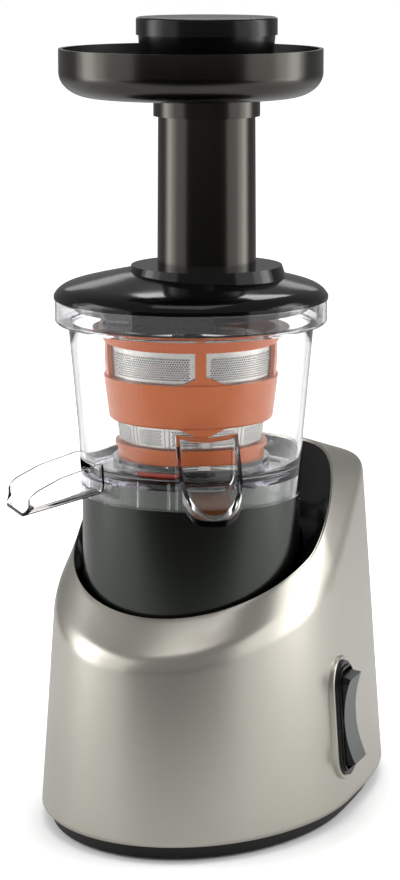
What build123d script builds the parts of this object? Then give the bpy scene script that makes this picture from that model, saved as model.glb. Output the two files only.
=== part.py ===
from build123d import *
from math import atan2, copysign, cos, degrees, pi, radians, sin, sqrt, tan
import os

os.makedirs("parts", exist_ok=True)

# Cold press juicer. Millimetres, +Z up, front towards -Y, switch on the +X side.
# The origin is on the surface it stands on, under the axis of the auger and its drive shaft.

# ---------------------------------------------------------------- shared fits
SEAT = 0.3  # gap between two pieces that lift or turn off one another
SLIP = 0.05  # radial running clearance of a shaft in its bush or bearing

# ---------------------------------------------------------------- base and housing
FOOT_OUT = 1.5  # how far the rubber feet stand out under the base
BASE_TOP = 9.0  # joint line between the black base and the metal housing
BASE_STEP = 2.5  # how far the base stands in from the housing
BASE_SLOPE = 3.0  # extra inset of the base at its lower edge
BASE_FLOOR = 3.0
BASE_RIM = 4.0

BODY_HALF_WIDTH = 83.6
BODY_FRONT = -91.0
BODY_BACK = 155.4
BODY_CENTRE_Y = 20.2
BODY_FRONT_POWER = 2.0
BODY_BACK_POWER = 3.0
BODY_DRAFT = 4.0  # degrees that the side walls lean in
BODY_WALL = 2.5

RIM_HALF_WIDTH = 68.3
RIM_FRONT = -61.8
RIM_BACK = 98.4
RIM_CENTRE_Y = 19.0
RIM_POWER = 2.02
RIM_LEVEL = 145.6  # height of the rim beside the axis
RIM_SLOPE = 0.39
RIM_BACK_LEVEL = 192.1
RIM_RISE_START = 0.0  # from here to RIM_RISE_END the rim climbs to its back level
RIM_RISE_END = 84.0

CREASE_LEVEL = 127.5  # height of the soft edge between side wall and crown
CREASE_SLOPE = 0.28
CREASE_BACK_LEVEL = 178.0
CREASE_RISE_START = 4.0
CREASE_RISE_END = 106.4
CROWN_WALL = 2.8
RECESS_LEVEL = 60.0  # any level under the rim, inside the hollow housing
OUTLINE_POINTS = 48

LINER_SKIN = 2.4
LINER_DROP = 0.6  # how far the liner's edge sits below the metal rim
LINER_GAP = 0.2
LINER_FOOT = 101.0
GUTTER_RADIUS = 59.4
GUTTER_LEVEL = 138.0
GUTTER_SLOPE = 0.47
COLLAR_WALL = 2.2

# ---------------------------------------------------------------- motor tower and gear plates
TOWER_RADIUS = 57.5
TOWER_WALL = 2.4
TOWER_TOP = 177.0
PLATEAU_RADIUS = 53.4
PLATEAU_TOP = 187.0
HUB_RING_OUTER = 24.0
HUB_RING_WALL = 3.0
HUB_RING_TOP = 192.5
TOWER_BORE = 11.5

PLATE_BOTTOM = 73.0
PLATE_THICK = 4.0
DECK_BOTTOM = 93.0
DECK_THICK = 5.0
DECK_TOP = DECK_BOTTOM + DECK_THICK
COVER_RADIUS = 52.0
COVER_WALL = 2.5
COVER_TOP = 152.0
COVER_TOP_THICK = 5.0
POST_RADIUS = 6.0
POST_SPOTS = [(-48.0, -40.0), (48.0, -40.0), (-50.0, 78.0), (50.0, 78.0)]
SCREW_RADIUS = 2.0
SCREW_HEAD = 4.0
SCREW_HEAD_HIGH = 2.6
PLATE_MARGIN = 9.0

# ---------------------------------------------------------------- gear train
GEAR_MODULE = 1.0
OUTPUT_TEETH = 64
LAY_PINION_TEETH = 16
LAY_WHEEL_TEETH = 48
MOTOR_PINION_TEETH = 12
TOOTH_BACKLASH = 0.22  # taken off each tooth's width at the pitch circle, in modules
TOOTH_ADDENDUM = 0.85
TOOTH_DEDENDUM = 1.2
PRESSURE_ANGLE = 20.0
SHAFT_RADIUS = 6.0
LAY_SHAFT_RADIUS = 4.0
ROTOR_SHAFT_RADIUS = 3.0
LAY_Y = GEAR_MODULE * (OUTPUT_TEETH + LAY_PINION_TEETH) / 2
ROTOR_Y = LAY_Y + GEAR_MODULE * (LAY_WHEEL_TEETH + MOTOR_PINION_TEETH) / 2
FIRST_STAGE_BOTTOM = 81.0
FIRST_STAGE_THICK = 8.0
SECOND_STAGE_BOTTOM = 102.0
SECOND_STAGE_THICK = 10.0
BEARING_RADIUS = 14.0
BEARING_THICK = 8.0
BUSH_RADIUS = 7.5
HEX_FLATS = 10.0
HEX_BOTTOM = 193.0
HEX_TOP = 212.0
SHAFT_SEAL_WALL = 4.5

MOTOR_RADIUS = 36.0
MOTOR_WALL = 2.0
MOTOR_BOTTOM = 18.0
STATOR_INNER = 25.5
STATOR_BOTTOM = 27.0
STATOR_TOP = 58.0
ROTOR_RADIUS = 24.7
FAN_RADIUS = 31.0
FAN_BOTTOM = 62.0
FAN_THICK = 7.0
FAN_BLADES = 9

# ---------------------------------------------------------------- rocker switch
SWITCH_Y = 15.0
SWITCH_Z = 56.0
BEZEL_WIDE = 26.0
BEZEL_HIGH = 62.0
BEZEL_OUT = 3.0
BEZEL_LIP = 0.9
BEZEL_LIP_WALL = 1.3
OPENING_WIDE = 21.2
OPENING_HIGH = 54.0
OPENING_CORNER = 7.0
LIP_WIDE = 31.0
LIP_HIGH = 67.0
LIP_OUT = 1.3
ROCKER_WIDE = 20.0
ROCKER_HIGH = 51.5
ROCKER_TOP_HIGH = 46.0
ROCKER_OUT = 9.0
ROCKER_DIP = 4.6
ROCKER_IN = 4.0
ROCKER_PIVOT_IN = 2.0
ROCKER_CORNER = 5.6
SWITCH_BOX_FRONT = 9.6
SWITCH_BOX_DEEP = 12.0
SWITCH_BOX_HIGH = 30.0

# ---------------------------------------------------------------- bowl
BOWL_FOOT_RADIUS = 57.8
BOWL_WALL = 2.2
BOWL_FOOT = TOWER_TOP + 0.1
BOWL_WAIST_RADIUS = 59.2
BOWL_WAIST = 208.0
BOWL_SHOULDER_RADIUS = 64.2
BOWL_SHOULDER = 265.2
LEDGE_RADIUS = 70.0
LEDGE_BOTTOM = 267.0
FLANGE_RADIUS = 71.2
FLANGE_WALL = 2.0
FLANGE_BOTTOM = 268.4
FLANGE_TOP = 279.5
BOWL_FLOOR = 190.0
BOWL_FLOOR_THICK = 2.5
BOWL_CORNER = 8.0
SEAT_RADIUS = 41.0
SEAT_TOP = 197.0
SEAT_THICK = 2.7
BOWL_BORE = 12.5
BOWL_SHELF = 268.6
PORT_LOW = BOWL_FLOOR + 0.2
CATCH_ANGLE = 12.0
CATCH_THICK = 2.0
STOP_RIB_WIDE = 0.9
STOP_RIB_OUT = 0.5
STOP_HEADING = 24.0

JUICE_HEADING = -50.0  # measured from the front (-Y) towards the right (+X)
JUICE_WIDE = 40.0
JUICE_TOP = 198.0
JUICE_BOTTOM = 181.0
JUICE_REACH = 97.4
JUICE_TIP_BOTTOM = 172.5
JUICE_SHOULDER = 78.0
JUICE_SHOULDER_Z = 192.2
JUICE_BROW = 89.0
JUICE_BROW_Z = 187.0
JUICE_NOSE = 95.6
JUICE_NOSE_Z = 181.0
JUICE_CORNER = 7.0  # rounding of the spout's end, seen from above
JUICE_PORT_TOP = 196.0
SPOUT_WALL = 2.0
JUICE_FLOOR_ROUND = 6.0

PULP_HEADING = 28.0
PULP_WIDE = 32.0
PULP_TOP = 217.5
PULP_BOTTOM = 187.0
PULP_LIP_REACH = 72.0
PULP_LIP_Z = 201.0
PULP_REACH = 89.0
PULP_TIP_Z = 176.0
PULP_FLOOR_ROUND = 9.0
PULP_PORT_TOP = 213.0
CHANNEL_HIGH = 90.0

PLUG_HEADING = -3.0
PLUG_ANGLE = 27.0
PLUG_INNER = 42.0
PLUG_OUTER = 47.8
PLUG_HIGH = 3.2

# ---------------------------------------------------------------- strainer
STRAINER_RIM_RADIUS = 51.7
STRAINER_RIM_TOP = 265.0
STRAINER_RIM_THICK = 2.6
STEP_RADIUS = 48.8
STEP_BOTTOM = 259.6
NECK_RADIUS = 47.0
WINDOW_TOP = 257.0
WINDOW_BOTTOM = 240.0
WINDOW_TOP_RADIUS = 45.9
WINDOW_BOTTOM_RADIUS = 44.7
BAND_TOP_RADIUS = 45.8
BAND_BOTTOM = 217.0
BAND_BOTTOM_RADIUS = 43.0
BAND_ROUND = 2.5
FRAME_WALL = 2.0
POST_HEADING = 26.5
POST_ANGLE = 7.0
SIDE_POSTS = [(-64.0, 24.0), (106.0, 26.0), (206.5, 7.0)]  # heading and width, degrees
BUMP_HEADING = 28.5
BUMP_HALF_WIDE = 14.0
BUMP_STEPS = 10
BUMP_RISE = 4.4
SHEET_THICK = 0.8
MESH_TOP_RADIUS = 38.8
MESH_FOOT = 205.0
MESH_FOOT_RADIUS = 37.2
RING_FLANGE = 39.9
RING_RADIUS = 38.4
RING_INNER = 35.2
RING_FLANGE_THICK = 2.2

# ---------------------------------------------------------------- auger
AUGER_FOOT = 199.0
AUGER_DISC_RADIUS = 33.0
AUGER_DISC_THICK = 4.0
AUGER_CORE_BOTTOM = 21.0
AUGER_CORE_TOP = 13.5
AUGER_TOP = 260.0
AUGER_CORE_SHOULDER = 250.0
FLIGHT_TOP = 256.0
FLIGHT_RADIUS = 33.4
FLIGHT_ANGLE = 30.0  # share of the round that each flight fills in plan, degrees
FLIGHT_COUNT = 2
FLIGHT_TURN = 500.0
FLIGHT_PIECES = 6  # each flight is twisted in this many lengths
PIN_RADIUS = 4.0
PIN_TOP = 276.0
AUGER_HUB_RADIUS = 9.0
AUGER_HUB_TOP = 215.0
HEX_SLACK = 0.25

# ---------------------------------------------------------------- lid, tube, tray and pusher
LID_RADIUS = 71.8
LID_BOTTOM = FLANGE_TOP + 0.3
LID_EDGE_HIGH = 1.6
LID_DOME_TOP = 295.5
LID_WALL = 3.0
LUG_INNER = 66.2
LUG_WEB = 67.5
LUG_TOE = 68.8
LUG_BOTTOM = 270.6
LUG_TOE_TOP = 273.0
LUG_ANGLE = 52.0
LUG_HEADING = 4.0
LUG_COUNT = 3
LID_TURN = 30.0
TUBE_X = 8.7
BOSS_TOP = 297.5
BOSS_TOP_RADIUS = 39.3
BOSS_FOOT = 286.0
BOSS_FOOT_RADIUS = 43.0
BOSS_SOCKET = 4.0
THROAT_RADIUS = 22.6
THROAT_WALL = 2.4
THROAT_BOTTOM = 269.0
BRIDGE_WIDE = 9.0
BRIDGE_HIGH = 5.0
BUSH_WALL = 3.4
SEAL_OUTER = 61.2
SEAL_WALL = 3.0
SEAL_BOTTOM = 274.5

TUBE_TOP = 386.0
TUBE_SHOULDER = 374.3
TUBE_TOP_RADIUS = 25.15
TUBE_FOOT_RADIUS = 25.7
TUBE_NECK_RADIUS = 24.6

TRAY_RADIUS = 68.3
TRAY_TOP = 408.8
TRAY_BOTTOM = 384.0
TRAY_WALL = 2.2
TRAY_CORNER_WIDE = 17.3
TRAY_CORNER_HIGH = 13.0
TRAY_COLLAR = 27.6

PUSHER_CAP_RADIUS = 36.4
PUSHER_TOP = 425.0
PUSHER_CAP_BOTTOM = 416.0
PUSHER_NECK_TOP = 35.3
PUSHER_NECK_MID = 34.2
PUSHER_NECK_MID_Z = 403.0
PUSHER_NECK_FOOT = 28.5
PUSHER_WALL = 2.5
PUSHER_SHAFT = 22.0
PUSHER_FOOT = 300.0
CAP_ROUND = 1.4

# ---------------------------------------------------------------- small parts
GLAND_Z = 26.0
GLAND_RADIUS = 8.0
GLAND_OUT = 5.0
GLAND_BORE = 3.6
FOOT_RADIUS = 9.0
FOOT_HIGH = 3.2
FOOT_SPOTS = [(0.0, 0.0), (-33.0, -60.0), (33.0, -60.0), (-56.0, 112.0), (56.0, 112.0)]
BOARD_Y = -52.0
BOARD_WIDE = 64.0
BOARD_HIGH = 42.0
BOARD_THICK = 1.6


# ---------------------------------------------------------------- shape rules
def heading_plane(heading):
    """A vertical plane through the axis: local x runs outwards along the heading, local y runs up."""
    turn = radians(heading)
    return Plane(origin=(0, 0, 0), x_dir=(sin(turn), -cos(turn), 0), z_dir=(-cos(turn), -sin(turn), 0))


def eased(y, start, end):
    """Runs smoothly from 0 at start to 1 at end."""
    share = min(max((y - start) / (end - start), 0.0), 1.0)
    return share * share * (3 - 2 * share)


def rim_height(y):
    rise = eased(y, RIM_RISE_START, RIM_RISE_END)
    return (RIM_LEVEL + RIM_SLOPE * y) * (1 - rise) + RIM_BACK_LEVEL * rise


def crease_height(y):
    rise = eased(y, CREASE_RISE_START, CREASE_RISE_END)
    return (CREASE_LEVEL + CREASE_SLOPE * y) * (1 - rise) + CREASE_BACK_LEVEL * rise


def gutter_height(y):
    return GUTTER_LEVEL + GUTTER_SLOPE * y


def oval_point(turn, half_width, front, back, centre_y, front_power, back_power):
    """A point of an outline that is one rounded oval at the front and a squarer one at the back."""
    c, s = cos(turn), sin(turn)
    power = front_power if s < 0 else back_power
    reach = centre_y - front if s < 0 else back - centre_y
    x = half_width * copysign(abs(c) ** (2 / power), c)
    y = centre_y + reach * copysign(abs(s) ** (2 / power), s)
    return x, y


def body_point(turn, inset):
    return oval_point(
        turn,
        BODY_HALF_WIDTH - inset,
        BODY_FRONT + inset,
        BODY_BACK - inset,
        BODY_CENTRE_Y,
        BODY_FRONT_POWER,
        BODY_BACK_POWER,
    )


def rim_point(turn, inset):
    return oval_point(
        turn, RIM_HALF_WIDTH - inset, RIM_FRONT + inset, RIM_BACK - inset, RIM_CENTRE_Y, RIM_POWER, RIM_POWER
    )


def lean(z):
    """How far the drafted wall has come in at a height."""
    return (z - BASE_TOP) * tan(radians(BODY_DRAFT))


def closed_wire(points):
    return Wire([Edge.make_spline([Vector(*p) for p in points], periodic=True)])


def turns():
    return [2 * pi * (i + 0.5) / OUTLINE_POINTS for i in range(OUTLINE_POINTS)]


def body_wire(inset, z):
    return closed_wire([(*body_point(t, inset), z) for t in turns()])


def crease_wire(inset, drop):
    points = []
    for t in turns():
        x, y = body_point(t, inset)
        for _ in range(3):
            x, y = body_point(t, inset + lean(crease_height(y)))
        points.append((x, y, crease_height(y) - drop))
    return closed_wire(points)


def rim_wire(inset, drop):
    points = [rim_point(t, inset) for t in turns()]
    return closed_wire([(x, y, rim_height(y) - drop) for x, y in points])


def flat_rim_wire(inset, z):
    return closed_wire([(*rim_point(t, inset), z) for t in turns()])


def ring_wire(radius, height_at):
    points = [(radius * cos(t), radius * sin(t)) for t in turns()]
    return closed_wire([(x, y, height_at(y)) for x, y in points])


def gear_points(teeth):
    """Outline of a spur gear with straight-flanked teeth; the first tooth points along +Y."""
    pitch = GEAR_MODULE * teeth / 2
    half = GEAR_MODULE * (pi / 4 - TOOTH_BACKLASH / 2)
    slope = tan(radians(PRESSURE_ANGLE))
    levels = [(-TOOTH_DEDENDUM, 1), (TOOTH_ADDENDUM, 1), (TOOTH_ADDENDUM, -1), (-TOOTH_DEDENDUM, -1)]
    points = []
    for i in range(teeth):
        middle = pi / 2 - 2 * pi * i / teeth
        for level, side in levels:
            radius = pitch + level * GEAR_MODULE
            width = half - level * GEAR_MODULE * slope
            points.append(
                (radius * cos(middle + side * width / radius), radius * sin(middle + side * width / radius))
            )
    return points


def sector_points(inner, outer, heading, angle, steps=6):
    """A ring segment centred on a heading, as a closed outline."""
    first = heading - angle / 2
    headings = [radians(first + angle * i / steps) for i in range(steps + 1)]
    far = [(outer * sin(h), -outer * cos(h)) for h in headings]
    near = [(inner * sin(h), -inner * cos(h)) for h in reversed(headings)]
    return far + near


def finish(builder, name):
    builder.part.label = name
    export_step(builder.part, "parts/" + name + ".step")


# ================================================================ base plate, feet and screws
base_outer = Solid.make_loft(
    [body_wire(BASE_STEP + BASE_SLOPE, FOOT_OUT), body_wire(BASE_STEP, BASE_TOP)], ruled=True
)
base_pocket = Solid.make_loft(
    [
        body_wire(BASE_STEP + BASE_SLOPE + BASE_RIM, FOOT_OUT + BASE_FLOOR),
        body_wire(BASE_STEP + BASE_RIM, BASE_TOP + 1),
    ],
    ruled=True,
)
with BuildPart() as base_plate:
    add(base_outer)
    add(base_pocket, mode=Mode.SUBTRACT)
    with BuildSketch(Plane.XY.offset(FOOT_OUT)):
        with Locations(*POST_SPOTS):
            Circle(POST_RADIUS)
    extrude(amount=PLATE_BOTTOM - FOOT_OUT)
    with BuildSketch(Plane.XY.offset(FOOT_OUT)):
        with Locations(*POST_SPOTS):
            Circle(SCREW_RADIUS)
    extrude(amount=PLATE_BOTTOM - FOOT_OUT, mode=Mode.SUBTRACT)
    with BuildSketch(Plane.XY.offset(FOOT_OUT)):
        with Locations(*POST_SPOTS):
            Circle(SCREW_HEAD)
    extrude(amount=SCREW_HEAD_HIGH, mode=Mode.SUBTRACT)
    with BuildSketch(Plane.XY.offset(FOOT_OUT)):
        with Locations(*FOOT_SPOTS):
            Circle(FOOT_RADIUS)
    extrude(amount=FOOT_HIGH - FOOT_OUT, mode=Mode.SUBTRACT)
    with BuildSketch(Plane.XY.offset(FOOT_OUT)):
        with Locations((0, ROTOR_Y)):
            with GridLocations(0, 7, 1, 7):
                SlotOverall(44, 3)
    extrude(amount=BASE_FLOOR, mode=Mode.SUBTRACT)
finish(base_plate, "base_plate")

with BuildPart() as rubber_feet:
    with BuildSketch(Plane.XY):
        with Locations(*FOOT_SPOTS):
            Circle(FOOT_RADIUS)
    extrude(amount=FOOT_HIGH)
finish(rubber_feet, "rubber_feet")

with BuildPart() as base_screws:
    with BuildSketch(Plane.XY.offset(FOOT_OUT)):
        with Locations(*POST_SPOTS):
            Circle(SCREW_HEAD)
    extrude(amount=SCREW_HEAD_HIGH)
    with BuildSketch(Plane.XY.offset(FOOT_OUT)):
        with Locations(*POST_SPOTS):
            Circle(SCREW_RADIUS)
    extrude(amount=24)
    with BuildSketch(Plane.XY.offset(FOOT_OUT)):
        with Locations(*POST_SPOTS):
            RegularPolygon(SCREW_RADIUS * 0.8, 6)
    extrude(amount=1.4, mode=Mode.SUBTRACT)
finish(base_screws, "base_screws")

# ================================================================ metal housing
housing_outer = Solid.make_loft(
    [body_wire(0, BASE_TOP), crease_wire(0, 0), rim_wire(0, 0), flat_rim_wire(0, RECESS_LEVEL)], ruled=True
)
housing_hollow = Solid.make_loft(
    [
        body_wire(BODY_WALL, BASE_TOP - 1),
        crease_wire(BODY_WALL, CROWN_WALL),
        rim_wire(2, CROWN_WALL),
        flat_rim_wire(2, RECESS_LEVEL + 1),
    ],
    ruled=True,
)
switch_wall = BODY_HALF_WIDTH - lean(SWITCH_Z)
wall_tilt = radians(BODY_DRAFT)
SWITCH_PLANE = Plane(
    origin=(switch_wall, SWITCH_Y, SWITCH_Z), x_dir=(0, 1, 0), z_dir=(cos(wall_tilt), 0, sin(wall_tilt))
)
gland_wall = BODY_BACK - lean(GLAND_Z)
GLAND_PLANE = Plane(
    origin=(0, gland_wall, GLAND_Z), x_dir=(-1, 0, 0), z_dir=(0, cos(wall_tilt), sin(wall_tilt))
)
with BuildPart() as body_shell:
    add(housing_outer)
    add(housing_hollow, mode=Mode.SUBTRACT)
    with BuildSketch(SWITCH_PLANE.offset(-BODY_WALL + 0.5)):
        SlotOverall(LIP_HIGH, LIP_WIDE, rotation=90)
    extrude(amount=BODY_WALL - 0.5 + LIP_OUT)
    with BuildSketch(SWITCH_PLANE.offset(-3 * BODY_WALL)):
        SlotOverall(BEZEL_HIGH, BEZEL_WIDE, rotation=90)
    extrude(amount=4 * BODY_WALL, mode=Mode.SUBTRACT)
    with BuildSketch(GLAND_PLANE.offset(-3 * BODY_WALL)):
        Circle(GLAND_RADIUS - 2)
    extrude(amount=5 * BODY_WALL, mode=Mode.SUBTRACT)
finish(body_shell, "body_shell")

# ================================================================ black liner of the slanted opening
liner_outer = Solid.make_loft(
    [
        flat_rim_wire(LINER_GAP, LINER_FOOT),
        rim_wire(LINER_GAP, LINER_DROP),
        ring_wire(GUTTER_RADIUS - COLLAR_WALL, gutter_height),
    ],
    ruled=True,
)
liner_under = Solid.make_loft(
    [
        flat_rim_wire(-LINER_SKIN, LINER_FOOT - 1),
        rim_wire(-LINER_SKIN, LINER_DROP + LINER_SKIN),
        ring_wire(GUTTER_RADIUS - COLLAR_WALL, lambda y: gutter_height(y) - LINER_SKIN),
    ],
    ruled=True,
)
with BuildPart() as liner_collar:
    with BuildSketch(Plane.XY.offset(LINER_FOOT)):
        Circle(GUTTER_RADIUS + COLLAR_WALL)
    extrude(amount=TOWER_TOP - LINER_FOOT)
    add(liner_outer, mode=Mode.INTERSECT)
with BuildPart() as recess_liner:
    add(liner_outer)
    add(liner_under, mode=Mode.SUBTRACT)
    add(liner_collar.part)
    with BuildSketch(Plane.XY.offset(LINER_FOOT - 1)):
        Circle(GUTTER_RADIUS)
    extrude(amount=TOWER_TOP - LINER_FOOT, mode=Mode.SUBTRACT)
finish(recess_liner, "recess_liner")

# ================================================================ motor tower
with BuildPart() as motor_tower:
    with BuildSketch(Plane.XZ):
        with BuildLine():
            Polyline(
                (TOWER_RADIUS, DECK_TOP),
                (TOWER_RADIUS, TOWER_TOP),
                (PLATEAU_RADIUS, TOWER_TOP),
                (PLATEAU_RADIUS, PLATEAU_TOP),
                (HUB_RING_OUTER, PLATEAU_TOP),
                (HUB_RING_OUTER, HUB_RING_TOP),
                (HUB_RING_OUTER - HUB_RING_WALL, HUB_RING_TOP),
                (HUB_RING_OUTER - HUB_RING_WALL, PLATEAU_TOP),
                (TOWER_BORE, PLATEAU_TOP),
                (TOWER_BORE, PLATEAU_TOP - TOWER_WALL),
                (PLATEAU_RADIUS - TOWER_WALL, PLATEAU_TOP - TOWER_WALL),
                (PLATEAU_RADIUS - TOWER_WALL, TOWER_TOP - TOWER_WALL),
                (TOWER_RADIUS - TOWER_WALL, TOWER_TOP - TOWER_WALL),
                (TOWER_RADIUS - TOWER_WALL, DECK_TOP),
                close=True,
            )
        make_face()
    revolve(axis=Axis.Z)
finish(motor_tower, "motor_tower")

with BuildPart() as tower_seal:
    with BuildSketch(Plane.XY.offset(PLATEAU_TOP - TOWER_WALL)):
        Circle(TOWER_BORE)
        Circle(SHAFT_RADIUS + SEAT, mode=Mode.SUBTRACT)
    extrude(amount=TOWER_WALL + 2)
finish(tower_seal, "tower_seal")

# ================================================================ gear plates and covers
plate_back = ROTOR_Y + MOTOR_RADIUS
with BuildPart() as gear_plate:
    with BuildSketch(Plane.XY.offset(PLATE_BOTTOM)):
        with Locations(*POST_SPOTS):
            Circle(PLATE_MARGIN)
        make_hull()
    extrude(amount=PLATE_THICK)
    with BuildSketch(Plane.XY.offset(PLATE_BOTTOM + PLATE_THICK)):
        with Locations(*POST_SPOTS):
            Circle(POST_RADIUS)
    extrude(amount=DECK_BOTTOM - PLATE_BOTTOM - PLATE_THICK)
    with BuildSketch(Plane.XY.offset(PLATE_BOTTOM)):
        with Locations((0, LAY_Y), (0, ROTOR_Y)):
            Circle(BUSH_RADIUS)
        with Locations(*POST_SPOTS):
            Circle(SCREW_RADIUS)
    extrude(amount=DECK_BOTTOM - PLATE_BOTTOM, mode=Mode.SUBTRACT)
finish(gear_plate, "gear_plate")

with BuildPart() as gear_deck:
    with BuildSketch(Plane.XY.offset(DECK_BOTTOM)):
        with Locations(*POST_SPOTS):
            Circle(PLATE_MARGIN)
        Circle(TOWER_RADIUS)
        make_hull()
    extrude(amount=DECK_THICK)
    with BuildSketch(Plane.XY.offset(DECK_BOTTOM - 2.5)):
        Circle(BEARING_RADIUS + 3)
    extrude(amount=2.5)
    with BuildSketch(Plane.XY.offset(DECK_BOTTOM - 2.5)):
        Circle(BEARING_RADIUS)
    extrude(amount=DECK_THICK + 2.5, mode=Mode.SUBTRACT)
    with BuildSketch(Plane.XY.offset(DECK_BOTTOM)):
        with Locations((0, LAY_Y)):
            Circle(BUSH_RADIUS)
        with Locations(*POST_SPOTS):
            Circle(SCREW_RADIUS)
    extrude(amount=DECK_THICK, mode=Mode.SUBTRACT)
finish(gear_deck, "gear_deck")

with BuildPart() as deck_screws:
    with BuildSketch(Plane.XY.offset(DECK_TOP)):
        with Locations(*POST_SPOTS):
            Circle(SCREW_HEAD)
    extrude(amount=SCREW_HEAD_HIGH)
    with BuildSketch(Plane.XY.offset(DECK_TOP)):
        with Locations(*POST_SPOTS):
            Circle(SCREW_RADIUS)
    extrude(amount=-(DECK_TOP - PLATE_BOTTOM + 18))
finish(deck_screws, "deck_screws")

with BuildPart() as gearbox_cover:
    with BuildSketch(Plane.XZ):
        with BuildLine():
            Polyline(
                (COVER_RADIUS, DECK_TOP),
                (COVER_RADIUS, COVER_TOP),
                (BEARING_RADIUS, COVER_TOP),
                (BEARING_RADIUS, COVER_TOP - BEARING_THICK),
                (BEARING_RADIUS + 3, COVER_TOP - BEARING_THICK),
                (BEARING_RADIUS + 3, COVER_TOP - COVER_TOP_THICK),
                (COVER_RADIUS - COVER_WALL, COVER_TOP - COVER_TOP_THICK),
                (COVER_RADIUS - COVER_WALL, DECK_TOP),
                close=True,
            )
        make_face()
    revolve(axis=Axis.Z)
finish(gearbox_cover, "gearbox_cover")

with BuildPart() as shaft_bearings:
    for bearing_bottom in (DECK_BOTTOM - 2.5, COVER_TOP - BEARING_THICK):
        with BuildSketch(Plane.XY.offset(bearing_bottom)):
            Circle(BEARING_RADIUS)
            Circle(SHAFT_RADIUS + SLIP, mode=Mode.SUBTRACT)
        extrude(amount=7.5 if bearing_bottom < DECK_TOP else BEARING_THICK)
finish(shaft_bearings, "shaft_bearings")

with BuildPart() as lay_bushes:
    for bush_bottom, bush_thick in ((PLATE_BOTTOM, PLATE_THICK), (DECK_BOTTOM, DECK_THICK)):
        with BuildSketch(Plane.XY.offset(bush_bottom)):
            with Locations((0, LAY_Y)):
                Circle(BUSH_RADIUS)
                Circle(LAY_SHAFT_RADIUS + SLIP, mode=Mode.SUBTRACT)
        extrude(amount=bush_thick)
finish(lay_bushes, "lay_bushes")

# ================================================================ drive shaft and gears
with BuildPart() as drive_shaft:
    with BuildSketch(Plane.XY.offset(DECK_BOTTOM - 2.5)):
        Circle(SHAFT_RADIUS)
    extrude(amount=HEX_BOTTOM - DECK_BOTTOM + 2.5)
    with BuildSketch(Plane.XY.offset(HEX_BOTTOM)):
        RegularPolygon(HEX_FLATS / 2, 6, major_radius=False)
    extrude(amount=HEX_TOP - HEX_BOTTOM)
    chamfer(drive_shaft.faces().sort_by(Axis.Z)[-1].edges(), 0.8)
finish(drive_shaft, "drive_shaft")

with BuildPart() as output_gear:
    with BuildSketch(Plane.XY.offset(SECOND_STAGE_BOTTOM)):
        Polygon(*gear_points(OUTPUT_TEETH), align=None)
        Circle(SHAFT_RADIUS, mode=Mode.SUBTRACT)
    extrude(amount=SECOND_STAGE_THICK)
    with BuildSketch(Plane.XY.offset(SECOND_STAGE_BOTTOM)):
        with PolarLocations(19, 6):
            Circle(5)
    extrude(amount=SECOND_STAGE_THICK, mode=Mode.SUBTRACT)
finish(output_gear, "output_gear")

with BuildPart() as lay_shaft:
    with BuildSketch(Plane.XY.offset(PLATE_BOTTOM)):
        with Locations((0, LAY_Y)):
            Circle(LAY_SHAFT_RADIUS)
    extrude(amount=SECOND_STAGE_BOTTOM + SECOND_STAGE_THICK + 2 - PLATE_BOTTOM)
finish(lay_shaft, "lay_shaft")

half_tooth = 180 / LAY_PINION_TEETH
with BuildPart() as lay_pinion:
    with BuildSketch(Plane.XY.offset(SECOND_STAGE_BOTTOM)):
        with Locations(Location((0, LAY_Y), half_tooth)):
            Polygon(*gear_points(LAY_PINION_TEETH), align=None)
        with Locations((0, LAY_Y)):
            Circle(LAY_SHAFT_RADIUS, mode=Mode.SUBTRACT)
    extrude(amount=SECOND_STAGE_THICK)
finish(lay_pinion, "lay_pinion")

with BuildPart() as lay_wheel:
    with BuildSketch(Plane.XY.offset(FIRST_STAGE_BOTTOM)):
        with Locations((0, LAY_Y)):
            Polygon(*gear_points(LAY_WHEEL_TEETH), align=None)
            Circle(LAY_SHAFT_RADIUS, mode=Mode.SUBTRACT)
    extrude(amount=FIRST_STAGE_THICK)
finish(lay_wheel, "lay_wheel")

half_tooth = 180 / MOTOR_PINION_TEETH
with BuildPart() as motor_pinion:
    with BuildSketch(Plane.XY.offset(FIRST_STAGE_BOTTOM)):
        with Locations(Location((0, ROTOR_Y), half_tooth)):
            Polygon(*gear_points(MOTOR_PINION_TEETH), align=None)
        with Locations((0, ROTOR_Y)):
            Circle(ROTOR_SHAFT_RADIUS, mode=Mode.SUBTRACT)
    extrude(amount=FIRST_STAGE_THICK)
finish(motor_pinion, "motor_pinion")

# ================================================================ motor
MOTOR_PLANE = Plane(origin=(0, ROTOR_Y, 0))
with BuildPart() as motor_can:
    with BuildSketch(MOTOR_PLANE.offset(MOTOR_BOTTOM)):
        Circle(MOTOR_RADIUS)
    extrude(amount=PLATE_BOTTOM - MOTOR_BOTTOM)
    with BuildSketch(MOTOR_PLANE.offset(MOTOR_BOTTOM + MOTOR_WALL)):
        Circle(MOTOR_RADIUS - MOTOR_WALL)
    extrude(amount=PLATE_BOTTOM - MOTOR_BOTTOM - MOTOR_WALL, mode=Mode.SUBTRACT)
    with BuildSketch(MOTOR_PLANE.offset(MOTOR_BOTTOM)):
        Circle(BUSH_RADIUS)
        with PolarLocations(21, 8):
            Circle(4.5)
    extrude(amount=MOTOR_WALL, mode=Mode.SUBTRACT)
finish(motor_can, "motor_can")

with BuildPart() as stator_core:
    with BuildSketch(MOTOR_PLANE.offset(STATOR_BOTTOM)):
        Circle(MOTOR_RADIUS - MOTOR_WALL)
        Circle(STATOR_INNER, mode=Mode.SUBTRACT)
    extrude(amount=STATOR_TOP - STATOR_BOTTOM)
finish(stator_core, "stator_core")

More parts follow.
